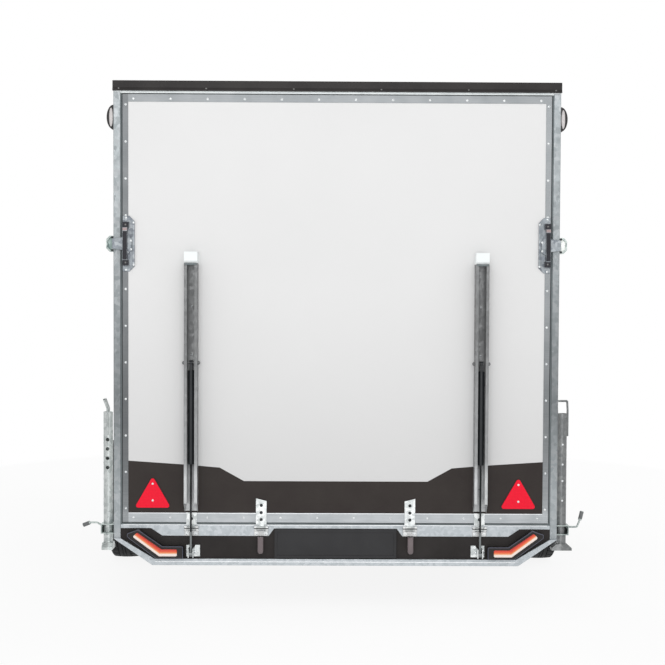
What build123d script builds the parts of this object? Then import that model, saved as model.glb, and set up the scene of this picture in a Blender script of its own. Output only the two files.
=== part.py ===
"""Closed box trailer with two axles, a rear ramp door on gas springs and an overrun coupling.

Millimetres. +Y runs forward to the coupling, +X to the right, +Z up, with the ground at Z = 0 and the
origin under the middle of the overall box. Distances called "ahead" are measured forward from the
outer face of the closed ramp.
"""

from build123d import *
import math
import os

os.makedirs("parts", exist_ok=True)

# ---------------------------------------------------------------- driving dimensions
RAMP_WIDTH = 2000
RAMP_HEIGHT = 2000
RAMP_THICKNESS = 40
RAMP_BOTTOM = 398
RAMP_GAP = 7
RAMP_FRAME_PROUD = 1.5
RAMP_FRAME_SIDE = 29
RAMP_FRAME_TOP = 38
RAMP_FRAME_BOTTOM = 47
RAMP_FRAME_CHAMFER = 3

BODY_LENGTH = 4000
POST_WIDTH = 33
POST_DEPTH = 70
POST_BOTTOM = 325
POST_CORNER_RADIUS = 3
HEADER_HEIGHT = 47
WALL_THICKNESS = 30
ROOF_THICKNESS = 30
FLOOR_THICKNESS = 18
FLOOR_TOP = 420
FLOOR_EDGE_GAP = 0.5
PROFILE_LEG = 42
PROFILE_WALL = 2

TRIM_HEIGHT = 48
TRIM_WALL = 6
TRIM_LIP = 4
TRIM_LIP_HEIGHT = 15
TRIM_ROUND = 5
TRIM_OVERHANG = 3
TRIM_TOP_RISE = 6

FRAME_HEIGHT = 60
RAIL_WIDTH = 40
CROSSMEMBER_WIDTH = 40
CROSSMEMBER_COUNT = 8
DRAWBAR_ARM_WIDTH = 60
DRAWBAR_ARM_HEIGHT = 70
DRAWBAR_TIP_HALF = 85
DRAWBAR_TO_AXLE = 320
DRAWBAR_REAR_HALF = 850

SILL_THICKNESS = 4
SILL_DROP = 53
SILL_SHALLOW_DROP = 18
SILL_LOBE_INNER = 314
SILL_LOBE_OUTER = 812
SILL_SLOPE = 26
BOARD_THICKNESS = 4

BUMPER_HEIGHT = 30
BUMPER_DEPTH = 40
BUMPER_BOTTOM = 200
BUMPER_CORNER_HALF = 858

HINGE_AXIS_HEIGHT = 375
HINGE_AXIS_BEHIND = 14
HINGE_KNUCKLE_RADIUS = 11
HINGE_PIN_RADIUS = 5
HINGE_ROLL_WIDTH = 40
HINGE_ROLL_GAP = 0.5
HINGE_ROLL_SEAM = 8
HINGE_NECK_WIDTH = 26
HINGE_LEAF_THICKNESS = 6
HINGE_LEAF_WIDTH = 66
HINGE_LEAF_BOTTOM = 338
HINGE_STRAP_WIDTH = 50
HINGE_INNER_HALF = 348.5
HINGE_STRAP_LENGTH = 112
HINGE_STRAP_SLANT = 13

CHANNEL_HALF = 675
CHANNEL_WIDTH = 62
CHANNEL_DEPTH = 66
CHANNEL_WALL = 3
CHANNEL_LIP = 14
CHANNEL_BOTTOM = 455
CHANNEL_TOP = 1612
CAP_HEIGHT = 53
CAP_PROUD = 4

STRUT_TOP_HEIGHT = 1150
STRUT_TOP_BEHIND = 36
STRUT_EYE_HEIGHT = 257
STRUT_EYE_BEHIND = 44
CYLINDER_RADIUS = 14
CYLINDER_LENGTH = 437
CYLINDER_END_BELOW_PIN = 35
ROD_RADIUS = 4.5
ROD_INSERTED = 230
ROD_END_RADIUS = 5.5
ROD_END_LENGTH = 105
STRUT_EYE_RADIUS = 11
STRUT_EYE_WIDTH = 16
STRUT_PIN_RADIUS = 4
STRUT_BRACKET_OUTWARD = 24
STRUT_BRACKET_INWARD = 40
STRUT_BRACKET_BOTTOM = 241
STRUT_BRACKET_HEIGHT = 54
STRUT_BRACKET_PLATE = 12
STRUT_EAR = 4
STRUT_EAR_GAP = 1
STRUT_EAR_HEIGHT = 44
SLIDING_CLEARANCE = 0.1
TRACE_CLEARANCE = 0.3

TYRE_RADIUS = 298
TYRE_WIDTH = 165
TYRE_BEAD_RADIUS = 170
TYRE_BEAD_TOP = 180
TYRE_BELLY = 5
TYRE_SHOULDER_DROP = 27
TYRE_TREAD_HALF = 62
TYRE_FACETS = 48
BEAD_INSET = 28
RIM_FLANGE = 8
WHEEL_TRACK_HALF = 1153
REAR_AXLE_AHEAD = 1380
AXLE_SPACING = 700
AXLE_TUBE = 70
SWING_ARM_LENGTH = 160
HUB_BOLT_COUNT = 5
HUB_BOLT_CIRCLE = 56
STUB_RADIUS = 15

MUDGUARD_RADIUS = 355
MUDGUARD_OUTER_HALF = 1241
MUDGUARD_SHEET = 3
MUDGUARD_SKIRT = 28
MUDGUARD_BOTTOM = 335

LEG_STANDOFF = 58
LEG_AHEAD = 225
LEG_RADIUS = 22.5
LEG_WALL = 3
LEG_BOTTOM = 238
LEG_TOP = 902
LEG_FOOT_LENGTH = 97
LEG_FOOT_WIDTH = 52
LEG_FOOT_HEIGHT = 31
LEG_FOOT_TOP_LENGTH = 54
LEG_FOOT_EDGE = 12
LEG_HOLE_RADIUS = 8.5
LEG_HOLE_COUNT = 4
LEG_HOLE_PITCH = 45
LEG_TOP_HOLE = 134
BAIL_RADIUS = 5
BAIL_RISE = 64
BAIL_LEAN = 16
BAIL_WELD = 110
CLAMP_HEIGHT = 48
CLAMP_CENTRE_HEIGHT = 338
CLAMP_DEPTH = 64
CLAMP_PLATE = 5
CLAMP_REACH = 32
CLAMP_ROD_RADIUS = 4.5
CLAMP_GRIP_RADIUS = 9

BALL_SOCKET_RADIUS = 25.2
BALL_REACH = 1430
BALL_HEIGHT = 430
COUPLING_NOSE = 50
HEAD_LENGTH = 180
GAITER_LENGTH = 120
HOUSING_LENGTH = 310

JOCKEY_STANDOFF = 84
JOCKEY_REACH = 700
JOCKEY_TUBE_RADIUS = 24
JOCKEY_WHEEL_RADIUS = 100
JOCKEY_WHEEL_WIDTH = 52
JOCKEY_TRAIL = 38

# ---------------------------------------------------------------- worked-out places
BALL_AHEAD = BODY_LENGTH + BALL_REACH
HEAD_REAR = BALL_AHEAD - HEAD_LENGTH
HOUSING_FRONT = HEAD_REAR - GAITER_LENGTH
HOUSING_REAR = HOUSING_FRONT - HOUSING_LENGTH
DRAWBAR_TIP_AHEAD = HOUSING_FRONT + 20
DRAWBAR_REAR_AHEAD = REAR_AXLE_AHEAD + AXLE_SPACING + DRAWBAR_TO_AXLE
ARM_SLOPE = (DRAWBAR_REAR_HALF - DRAWBAR_TIP_HALF) / (DRAWBAR_TIP_AHEAD - DRAWBAR_REAR_AHEAD)
JOCKEY_AHEAD = BODY_LENGTH + JOCKEY_REACH
ARM_HALF_AT_JOCKEY = DRAWBAR_TIP_HALF + (DRAWBAR_TIP_AHEAD - JOCKEY_AHEAD) * ARM_SLOPE
JOCKEY_HALF = ARM_HALF_AT_JOCKEY + DRAWBAR_ARM_WIDTH / 2 + JOCKEY_STANDOFF
REAR_REACH = CHANNEL_DEPTH + CAP_PROUD
FRONT_REACH = BALL_AHEAD + COUPLING_NOSE
REAR_FACE = -(FRONT_REACH - REAR_REACH) / 2
POST_INNER = RAMP_WIDTH / 2 + RAMP_GAP
POST_OUTER = POST_INNER + POST_WIDTH
LEG_HALF = POST_OUTER + LEG_STANDOFF
RAMP_TOP = RAMP_BOTTOM + RAMP_HEIGHT
HEADER_BOTTOM = RAMP_TOP + RAMP_GAP
HEADER_TOP = HEADER_BOTTOM + HEADER_HEIGHT
ROOF_BOTTOM = HEADER_BOTTOM
ROOF_TOP = ROOF_BOTTOM + ROOF_THICKNESS
WALL_OUTER = POST_OUTER - PROFILE_WALL
WALL_INNER = WALL_OUTER - WALL_THICKNESS
FRONT_WALL_INNER = BODY_LENGTH - WALL_THICKNESS - PROFILE_WALL
FRONT_WALL_OUTER = BODY_LENGTH - PROFILE_WALL
FRAME_TOP = FLOOR_TOP - FLOOR_THICKNESS
FRAME_BOTTOM = FRAME_TOP - FRAME_HEIGHT
POST_REAR = -2.0
POST_FRONT = POST_REAR + POST_DEPTH
SILL_TOP = RAMP_BOTTOM - RAMP_GAP - 1
SILL_REAR = -3.0
BOARD_REAR = SILL_REAR + SILL_THICKNESS
BOARD_FRONT = BOARD_REAR + BOARD_THICKNESS
BUMPER_REAR = -14.0
AXLE_TUBE_HEIGHT = FRAME_BOTTOM - AXLE_TUBE / 2
CLAMP_BOTTOM = CLAMP_CENTRE_HEIGHT - CLAMP_HEIGHT / 2
TRIM_TOP = HEADER_TOP + TRIM_TOP_RISE
TRIM_BOTTOM = TRIM_TOP - TRIM_HEIGHT


def ahead(distance):
    """Y of a place this far ahead of the closed ramp's outer face."""
    return REAR_FACE + distance


def spot(x, distance, height):
    """A point from its x, its distance ahead and its height."""
    return Vector(x, ahead(distance), height)


def box_between(x, y, z, mode=Mode.ADD):
    """A box in the open part, from its low and high x, distance ahead and height."""
    low = (x[0], ahead(y[0]), z[0])
    high = (x[1], ahead(y[1]), z[1])
    centre = [(a + b) / 2 for a, b in zip(low, high)]
    with Locations(tuple(centre)):
        Box(*[b - a for a, b in zip(low, high)], mode=mode)


def rod_between(start, end, radius, mode=Mode.ADD):
    """A round bar in the open part between two points, each given as (x, distance ahead, height)."""
    a = spot(*start)
    b = spot(*end)
    with Locations(Plane(origin=a, z_dir=b - a)):
        Cylinder(radius, (b - a).length, align=(Align.CENTER, Align.CENTER, Align.MIN), mode=mode)


def along_x(x, distance, height, radius, mode=Mode.ADD):
    """A round bar along x between two x values."""
    rod_between((x[0], distance, height), (x[1], distance, height), radius, mode)


def bent_rod(spots, radius):
    """A round bar bent through several points."""
    with BuildLine() as path:
        Polyline(*spots)
    with BuildSketch(Plane(origin=spots[0], z_dir=spots[1] - spots[0])) as section:
        Circle(radius)
    sweep(section.sketch, path=path.wire(), transition=Transition.ROUND)


def sided(side, low, high):
    """An x range on one side of the trailer, low to high outward."""
    return (side * low, side * high) if side > 0 else (side * high, side * low)


def save(part, name):
    part.label = name
    export_step(part, f"parts/{name}.step")


SIDES = {"left": -1, "right": 1}

# ---------------------------------------------------------------- body shell
with BuildPart() as floor_panel:
    box_between(
        (-POST_INNER + FLOOR_EDGE_GAP, POST_INNER - FLOOR_EDGE_GAP),
        (RAMP_THICKNESS + RAMP_FRAME_PROUD + RAMP_GAP, FRONT_WALL_INNER - FLOOR_EDGE_GAP),
        (FRAME_TOP, FLOOR_TOP),
    )
save(floor_panel.part, "floor_panel")

for name, side in SIDES.items():
    with BuildPart() as side_wall:
        box_between(
            sided(side, WALL_INNER, WALL_OUTER), (POST_FRONT, FRONT_WALL_OUTER), (FRAME_TOP, ROOF_BOTTOM)
        )
    save(side_wall.part, f"side_wall_{name}")

with BuildPart() as front_wall:
    box_between((-WALL_INNER, WALL_INNER), (FRONT_WALL_INNER, FRONT_WALL_OUTER), (FRAME_TOP, ROOF_BOTTOM))
save(front_wall.part, "front_wall")

with BuildPart() as roof_panel:
    box_between((-WALL_OUTER, WALL_OUTER), (POST_FRONT, FRONT_WALL_OUTER), (ROOF_BOTTOM, ROOF_TOP))
save(roof_panel.part, "roof_panel")

with BuildPart() as edge_profiles:
    for side in SIDES.values():
        box_between(
            sided(side, WALL_OUTER, POST_OUTER),
            (POST_FRONT, BODY_LENGTH),
            (ROOF_TOP - PROFILE_LEG, ROOF_TOP + PROFILE_WALL),
        )
        box_between(
            sided(side, POST_OUTER - PROFILE_LEG, WALL_OUTER),
            (POST_FRONT, BODY_LENGTH),
            (ROOF_TOP, ROOF_TOP + PROFILE_WALL),
        )
    box_between(
        (-WALL_OUTER, WALL_OUTER),
        (FRONT_WALL_OUTER, BODY_LENGTH),
        (ROOF_TOP - PROFILE_LEG, ROOF_TOP + PROFILE_WALL),
    )
    box_between(
        (-WALL_OUTER, WALL_OUTER),
        (BODY_LENGTH - PROFILE_LEG, FRONT_WALL_OUTER),
        (ROOF_TOP, ROOF_TOP + PROFILE_WALL),
    )
    for side in SIDES.values():
        corner_z = (FRAME_TOP, ROOF_TOP - PROFILE_LEG)
        box_between(sided(side, WALL_OUTER, POST_OUTER), (BODY_LENGTH - PROFILE_LEG, BODY_LENGTH), corner_z)
        box_between(
            sided(side, POST_OUTER - PROFILE_LEG, WALL_OUTER), (FRONT_WALL_OUTER, BODY_LENGTH), corner_z
        )
save(edge_profiles.part, "edge_profiles")

# ---------------------------------------------------------------- rear frame round the ramp
with BuildPart() as rear_posts:
    for side in SIDES.values():
        box_between(
            sided(side, POST_INNER, POST_OUTER), (POST_REAR, POST_FRONT), (POST_BOTTOM, HEADER_BOTTOM)
        )
    fillet(rear_posts.edges().filter_by(Axis.Z).group_by(Axis.Y)[0], POST_CORNER_RADIUS)
save(rear_posts.part, "rear_posts")

with BuildPart() as rear_header:
    box_between((-POST_OUTER, POST_OUTER), (POST_REAR, POST_FRONT), (HEADER_BOTTOM, HEADER_TOP))
save(rear_header.part, "rear_header")

trim_half = POST_OUTER + TRIM_OVERHANG
trim_rear = POST_REAR - TRIM_WALL
with BuildPart() as drip_trim:
    with BuildSketch(Plane.YZ.offset(-trim_half)):
        with BuildLine():
            Polyline(
                (ahead(trim_rear + TRIM_ROUND), TRIM_TOP),
                (ahead(POST_FRONT - TRIM_WALL), TRIM_TOP),
                (ahead(POST_FRONT - TRIM_WALL), HEADER_TOP),
                (ahead(POST_REAR), HEADER_TOP),
                (ahead(POST_REAR), TRIM_BOTTOM),
                (ahead(trim_rear - TRIM_LIP), TRIM_BOTTOM),
                (ahead(trim_rear - TRIM_LIP), TRIM_BOTTOM + TRIM_LIP),
                (ahead(trim_rear), TRIM_BOTTOM + TRIM_LIP_HEIGHT),
                (ahead(trim_rear), TRIM_TOP - TRIM_ROUND),
            )
            CenterArc((ahead(trim_rear + TRIM_ROUND), TRIM_TOP - TRIM_ROUND), TRIM_ROUND, 90, 90)
        make_face()
    extrude(amount=2 * trim_half)
save(drip_trim.part, "drip_trim")

with BuildPart() as rear_sill:
    sill_shallow = SILL_TOP - SILL_SHALLOW_DROP
    sill_deep = SILL_TOP - SILL_DROP
    with BuildSketch(Plane.XZ.offset(-ahead(BOARD_REAR))):
        with BuildLine():
            Polyline(
                (0, SILL_TOP),
                (POST_INNER, SILL_TOP),
                (POST_INNER, sill_shallow),
                (SILL_LOBE_OUTER + 2 * SILL_SLOPE, sill_shallow),
                (SILL_LOBE_OUTER, sill_deep),
                (SILL_LOBE_INNER, sill_deep),
                (SILL_LOBE_INNER - SILL_SLOPE, sill_shallow),
                (0, sill_shallow),
                close=True,
            )
        make_face()
    extrude(amount=SILL_THICKNESS)
    mirror(about=Plane.YZ)
    box_between(
        (-POST_INNER, POST_INNER),
        (BOARD_REAR, RAMP_THICKNESS + RAMP_FRAME_PROUD + RAMP_GAP),
        (SILL_TOP - SILL_THICKNESS, SILL_TOP),
    )
save(rear_sill.part, "rear_sill")

with BuildPart() as rear_board:
    bumper_top = BUMPER_BOTTOM + BUMPER_HEIGHT
    with BuildSketch(Plane.XZ.offset(-ahead(BOARD_FRONT))):
        with BuildLine():
            Polyline(
                (0, SILL_TOP - SILL_THICKNESS),
                (POST_INNER, SILL_TOP - SILL_THICKNESS),
                (POST_INNER, POST_BOTTOM),
                (BUMPER_CORNER_HALF - BUMPER_HEIGHT / 3, bumper_top),
                (0, bumper_top),
                close=True,
            )
        make_face()
    extrude(amount=BOARD_THICKNESS)
    mirror(about=Plane.YZ)
save(rear_board.part, "rear_board")

with BuildPart() as rear_bumper:
    with BuildSketch(Plane.XZ.offset(-ahead(BUMPER_REAR + BUMPER_DEPTH))):
        with BuildLine():
            Polyline(
                (0, BUMPER_BOTTOM),
                (BUMPER_CORNER_HALF, BUMPER_BOTTOM),
                (POST_OUTER, POST_BOTTOM),
                (POST_INNER, POST_BOTTOM),
                (BUMPER_CORNER_HALF - BUMPER_HEIGHT / 3, BUMPER_BOTTOM + BUMPER_HEIGHT),
                (0, BUMPER_BOTTOM + BUMPER_HEIGHT),
                close=True,
            )
        make_face()
    extrude(amount=BUMPER_DEPTH)
    mirror(about=Plane.YZ)
save(rear_bumper.part, "rear_bumper")

# ---------------------------------------------------------------- chassis and drawbar
with BuildPart() as chassis_rails:
    for side in SIDES.values():
        box_between(
            sided(side, WALL_OUTER - RAIL_WIDTH, WALL_OUTER),
            (POST_FRONT, FRONT_WALL_OUTER),
            (FRAME_BOTTOM, FRAME_TOP),
        )
save(chassis_rails.part, "chassis_rails")

with BuildPart() as chassis_crossmembers:
    member_half = WALL_OUTER - RAIL_WIDTH
    first = POST_FRONT + CROSSMEMBER_WIDTH
    pitch = (FRONT_WALL_OUTER - CROSSMEMBER_WIDTH - first) / (CROSSMEMBER_COUNT - 1)
    for i in range(CROSSMEMBER_COUNT):
        start = first + i * pitch
        box_between(
            (-member_half, member_half), (start, start + CROSSMEMBER_WIDTH), (FRAME_BOTTOM, FRAME_TOP)
        )
    box_between(
        (-POST_INNER, POST_INNER), (BOARD_FRONT, POST_FRONT), (FRAME_BOTTOM, SILL_TOP - SILL_THICKNESS)
    )
save(chassis_crossmembers.part, "chassis_crossmembers")

arm_top = FRAME_BOTTOM
arm_bottom = FRAME_BOTTOM - DRAWBAR_ARM_HEIGHT
with BuildPart() as drawbar_arms:
    for side in SIDES.values():
        tip = Vector(side * DRAWBAR_TIP_HALF, ahead(DRAWBAR_TIP_AHEAD), arm_bottom)
        rear = Vector(side * DRAWBAR_REAR_HALF, ahead(DRAWBAR_REAR_AHEAD), arm_bottom)
        run = rear - tip
        with Locations(Plane(origin=tip, x_dir=run, z_dir=(0, 0, 1))):
            Box(
                run.length,
                DRAWBAR_ARM_WIDTH,
                DRAWBAR_ARM_HEIGHT,
                align=(Align.MIN, Align.CENTER, Align.MIN),
            )
save(drawbar_arms.part, "drawbar_arms")

HOUSING_HALF = 48
HOUSING_TOP = BALL_HEIGHT + 45
HOUSING_BASE_HALF = 150
HOUSING_BASE = 8
HOUSING_ROUND = 22
COLLAR_RADIUS = 44
COLLAR_LENGTH = 20
with BuildPart() as overrun_housing:
    base_top = arm_top + HOUSING_BASE
    block_front = HOUSING_FRONT - COLLAR_LENGTH
    box_between((-HOUSING_BASE_HALF, HOUSING_BASE_HALF), (HOUSING_REAR, HOUSING_FRONT), (arm_top, base_top))
    box_between((-HOUSING_HALF, HOUSING_HALF), (HOUSING_REAR, block_front), (base_top, HOUSING_TOP))
    fillet(overrun_housing.edges().filter_by(Axis.Y).group_by(Axis.Z)[-1], HOUSING_ROUND)
    rod_between((0, block_front - 1, BALL_HEIGHT), (0, HOUSING_FRONT, BALL_HEIGHT), COLLAR_RADIUS)
save(overrun_housing.part, "overrun_housing")

GAITER_RIBS = 6
GAITER_ROOT = 30
GAITER_CREST = 40
with BuildPart() as coupling_gaiter:
    rib = GAITER_LENGTH / GAITER_RIBS
    gaiter_plane = Plane(origin=(0, ahead(HOUSING_FRONT), BALL_HEIGHT), z_dir=(0, 1, 0))
    for i in range(GAITER_RIBS):
        for step, radii in ((0, (GAITER_ROOT, GAITER_CREST)), (0.5, (GAITER_CREST, GAITER_ROOT))):
            with Locations(gaiter_plane.offset((i + step) * rib)):
                Cone(*radii, rib / 2, align=(Align.CENTER, Align.CENTER, Align.MIN))
save(coupling_gaiter.part, "coupling_gaiter")

HEAD_HALF = 42
HEAD_TOP = BALL_HEIGHT + 42
HEAD_BOTTOM = BALL_HEIGHT - 32
HEAD_ROUND = 14
HANDLE_HALF = 16
HANDLE_THICKNESS = 12
HANDLE_PIVOT_BEHIND_BALL = 30
HANDLE_LENGTH = 165
HANDLE_RISE = 62
with BuildPart() as coupling_head:
    box_between((-HEAD_HALF, HEAD_HALF), (HEAD_REAR, BALL_AHEAD), (HEAD_BOTTOM, HEAD_TOP))
    with Locations((0, ahead(BALL_AHEAD), HEAD_BOTTOM)):
        Cylinder(COUPLING_NOSE, HEAD_TOP - HEAD_BOTTOM, align=(Align.CENTER, Align.CENTER, Align.MIN))
    fillet(coupling_head.faces().sort_by(Axis.Z)[-1].edges(), HEAD_ROUND)
    with Locations((0, ahead(BALL_AHEAD), HEAD_BOTTOM)):
        Cylinder(
            BALL_SOCKET_RADIUS,
            BALL_HEIGHT - HEAD_BOTTOM,
            align=(Align.CENTER, Align.CENTER, Align.MIN),
            mode=Mode.SUBTRACT,
        )
    with Locations((0, ahead(BALL_AHEAD), BALL_HEIGHT)):
        Sphere(BALL_SOCKET_RADIUS, mode=Mode.SUBTRACT)
    handle_front = BALL_AHEAD - HANDLE_PIVOT_BEHIND_BALL
    handle_rear = handle_front - HANDLE_LENGTH
    handle_middle = (handle_front + handle_rear) / 2
    with BuildSketch(Plane.YZ.offset(-HANDLE_HALF)) as handle_side:
        with BuildLine():
            Polyline(
                (ahead(handle_front), HEAD_TOP - 2),
                (ahead(handle_front), HEAD_TOP + HANDLE_THICKNESS),
                (ahead(handle_middle), HEAD_TOP + HANDLE_THICKNESS + HANDLE_RISE / 2),
                (ahead(handle_rear), HEAD_TOP + HANDLE_RISE),
                (ahead(handle_rear), HEAD_TOP + HANDLE_RISE - HANDLE_THICKNESS),
                (ahead(handle_middle), HEAD_TOP + HANDLE_RISE / 2 - HANDLE_THICKNESS / 2),
                (ahead(handle_front - 2 * HANDLE_THICKNESS), HEAD_TOP - 2),
                close=True,
            )
        make_face()
        fillet(handle_side.vertices().group_by(Axis.Y)[0], HANDLE_THICKNESS / 3)
    extrude(amount=2 * HANDLE_HALF)
save(coupling_head.part, "coupling_head")

LEVER_FOOT = HOUSING_REAR + 120
LEVER_PLATE = 10
LEVER_SECTOR_RADIUS = 46
LEVER_LEAN = 190
LEVER_RISE = 230
LEVER_GRIP_RADIUS = 15
LEVER_GRIP_LENGTH = 130
with BuildPart() as handbrake_lever:
    lever_x = HOUSING_HALF + LEVER_PLATE
    pivot_z = HOUSING_TOP - 30
    box_between(
        (HOUSING_HALF, lever_x),
        (LEVER_FOOT - LEVER_SECTOR_RADIUS, LEVER_FOOT + LEVER_SECTOR_RADIUS),
        (arm_top + HOUSING_BASE, pivot_z),
    )
    along_x((HOUSING_HALF, lever_x), LEVER_FOOT, pivot_z, LEVER_SECTOR_RADIUS)
    lever_foot = Vector(lever_x, LEVER_FOOT, pivot_z)
    lever_run = Vector(0, LEVER_LEAN, LEVER_RISE)
    lever_tip = lever_foot + lever_run
    grip_end = lever_tip + lever_run.normalized() * LEVER_GRIP_LENGTH
    rod_between(tuple(lever_foot), tuple(lever_tip + lever_run.normalized()), 8)
    rod_between(tuple(lever_tip), tuple(grip_end), LEVER_GRIP_RADIUS)
save(handbrake_lever.part, "handbrake_lever")

# ---------------------------------------------------------------- axles, wheels and mudguards
HUB_FACE = 12
DRUM_RADIUS = 105
DRUM_INNER = -55
ARM_TO_TYRE = 6
WHEEL_AHEADS = {"rear": REAR_AXLE_AHEAD, "front": REAR_AXLE_AHEAD + AXLE_SPACING}


def axle(wheel_ahead):
    """A torsion axle tube with trailing arms, brake drums and stub shafts."""
    tube_ahead = wheel_ahead + SWING_ARM_LENGTH
    tube_half = WALL_OUTER - RAIL_WIDTH / 2
    arm_inner = WALL_OUTER + 5
    with BuildPart() as body:
        box_between(
            (-tube_half, tube_half),
            (tube_ahead - AXLE_TUBE / 2, tube_ahead + AXLE_TUBE / 2),
            (AXLE_TUBE_HEIGHT - AXLE_TUBE / 2, AXLE_TUBE_HEIGHT + AXLE_TUBE / 2),
        )
        for side in SIDES.values():
            arm_outer = WHEEL_TRACK_HALF - TYRE_WIDTH / 2 - ARM_TO_TYRE
            drum_inner = side * (WHEEL_TRACK_HALF + DRUM_INNER)
            hub_face = side * (WHEEL_TRACK_HALF + HUB_FACE)
            along_x((side * tube_half, side * arm_outer), tube_ahead, AXLE_TUBE_HEIGHT, 32)
            box_between(
                sided(side, arm_inner, arm_outer),
                (wheel_ahead, tube_ahead),
                (TYRE_RADIUS - 24, AXLE_TUBE_HEIGHT + 24),
            )
            along_x((side * arm_inner, side * arm_outer), wheel_ahead, TYRE_RADIUS, 32)
            along_x((side * arm_outer, drum_inner), wheel_ahead, TYRE_RADIUS, 26)
            along_x((drum_inner, hub_face), wheel_ahead, TYRE_RADIUS, DRUM_RADIUS)
            along_x((hub_face, hub_face + side * 30), wheel_ahead, TYRE_RADIUS, STUB_RADIUS)
    return body.part


def wheel_plane(side, wheel_ahead):
    """Sketch plane through a wheel's centre: local x points outward along the axle, local y up."""
    centre = (side * WHEEL_TRACK_HALF, ahead(wheel_ahead), TYRE_RADIUS)
    return Plane(origin=centre, x_dir=(side, 0, 0), z_dir=(0, -side, 0))


def faceted_ring(section):
    """A closed section of (place along x, radius to the flats) carried round the x axis in flat facets."""
    step = 2 * math.pi / TYRE_FACETS
    facets = []
    for band in zip(section, section[1:] + section[:1]):
        for facet in range(TYRE_FACETS):
            corners = []
            for end, (place, flat_radius) in enumerate(band):
                corner_radius = flat_radius / math.cos(step / 2)
                angles = [(facet - 0.5) * step, (facet + 0.5) * step]
                for angle in angles[:: 1 - 2 * end]:
                    corners.append((place, corner_radius * math.cos(angle), corner_radius * math.sin(angle)))
            facets.append(Face(Wire.make_polygon(corners)))
    return Solid(Shell(facets))


def road_tyre():
    """A road tyre round the x axis: beads, bellied sidewalls, bevelled shoulders and a flat tread."""
    half = TYRE_WIDTH / 2
    right_side = [
        (TYRE_TREAD_HALF, TYRE_RADIUS),
        (half - TYRE_BELLY, TYRE_RADIUS - TYRE_SHOULDER_DROP),
        (half, (TYRE_BEAD_TOP + TYRE_RADIUS) / 2),
        (half - TYRE_BELLY, TYRE_BEAD_TOP + TYRE_SHOULDER_DROP),
        (half - BEAD_INSET, TYRE_BEAD_TOP),
        (half - BEAD_INSET, TYRE_BEAD_RADIUS),
    ]
    return faceted_ring(right_side + [(-place, radius) for place, radius in right_side[::-1]])


def rim(side, wheel_ahead):
    """A steel rim: barrel with flanges, dished disc with bolt heads and holes, and the hub on its stub."""
    barrel = TYRE_BEAD_RADIUS - TRACE_CLEARANCE
    flange = barrel + RIM_FLANGE
    well = barrel - 6
    lip = TYRE_WIDTH / 2 - BEAD_INSET + 0.5
    plane = wheel_plane(side, wheel_ahead)
    disc = HUB_FACE + 8
    with BuildPart() as body:
        with BuildSketch(plane):
            with BuildLine():
                Polyline(
                    (-lip - 6, well),
                    (-lip - 6, flange),
                    (-lip, flange),
                    (-lip, barrel),
                    (lip, barrel),
                    (lip, flange),
                    (lip + 6, flange),
                    (lip + 6, well),
                    (disc + 8, well),
                    (disc + 22, 110),
                    (disc + 8, 82),
                    (disc + 8, 34),
                    (disc + 30, 30),
                    (disc + 30, 0),
                    (HUB_FACE + 32, 0),
                    (HUB_FACE + 32, STUB_RADIUS + SLIDING_CLEARANCE),
                    (disc, STUB_RADIUS + SLIDING_CLEARANCE),
                    (disc, 82),
                    (disc + 14, 110),
                    (disc, well),
                    close=True,
                )
            make_face()
        revolve(axis=Axis(plane.origin, (1, 0, 0)))
        face = Plane(origin=plane.origin + Vector(side * (disc + 8), 0, 0), z_dir=(side, 0, 0))
        with Locations(face):
            with PolarLocations(HUB_BOLT_CIRCLE, HUB_BOLT_COUNT):
                Cylinder(9.5, 14, align=(Align.CENTER, Align.CENTER, Align.MIN))
            with PolarLocations(128, 10):
                Cylinder(11, 80, mode=Mode.SUBTRACT)
    return body.part


tyre_shape = road_tyre()
for place, wheel_ahead in WHEEL_AHEADS.items():
    save(axle(wheel_ahead), f"axle_{place}")
    for name, side in SIDES.items():
        save(tyre_shape.moved(Location(wheel_plane(side, wheel_ahead).origin)), f"tyre_{place}_{name}")
        save(rim(side, wheel_ahead), f"rim_{place}_{name}")


def mudguard(side):
    """An arch over both wheels of one side: a bent sheet with a skirt along its outer edge."""
    middle = ahead(REAR_AXLE_AHEAD + AXLE_SPACING / 2)
    inner_x, outer_x = side * WALL_OUTER, side * MUDGUARD_OUTER_HALF
    ground_cut = (middle, MUDGUARD_BOTTOM - MUDGUARD_RADIUS)
    with BuildPart() as body:
        with BuildSketch(Plane.YZ.offset(inner_x)):
            with Locations((middle, TYRE_RADIUS)):
                SlotCenterToCenter(AXLE_SPACING, 2 * MUDGUARD_RADIUS)
                SlotCenterToCenter(AXLE_SPACING, 2 * (MUDGUARD_RADIUS - MUDGUARD_SHEET), mode=Mode.SUBTRACT)
            with Locations(ground_cut):
                Rectangle(4 * MUDGUARD_RADIUS, 2 * MUDGUARD_RADIUS, mode=Mode.SUBTRACT)
        extrude(amount=outer_x - inner_x)
        with BuildSketch(Plane.YZ.offset(outer_x)):
            with Locations((middle, TYRE_RADIUS)):
                SlotCenterToCenter(AXLE_SPACING, 2 * MUDGUARD_RADIUS)
                SlotCenterToCenter(AXLE_SPACING, 2 * (MUDGUARD_RADIUS - MUDGUARD_SKIRT), mode=Mode.SUBTRACT)
            with Locations(ground_cut):
                Rectangle(4 * MUDGUARD_RADIUS, 2 * MUDGUARD_RADIUS, mode=Mode.SUBTRACT)
        extrude(amount=-side * MUDGUARD_SHEET)
    return body.part


for name, side in SIDES.items():
    save(mudguard(side), f"mudguard_{name}")

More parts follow.
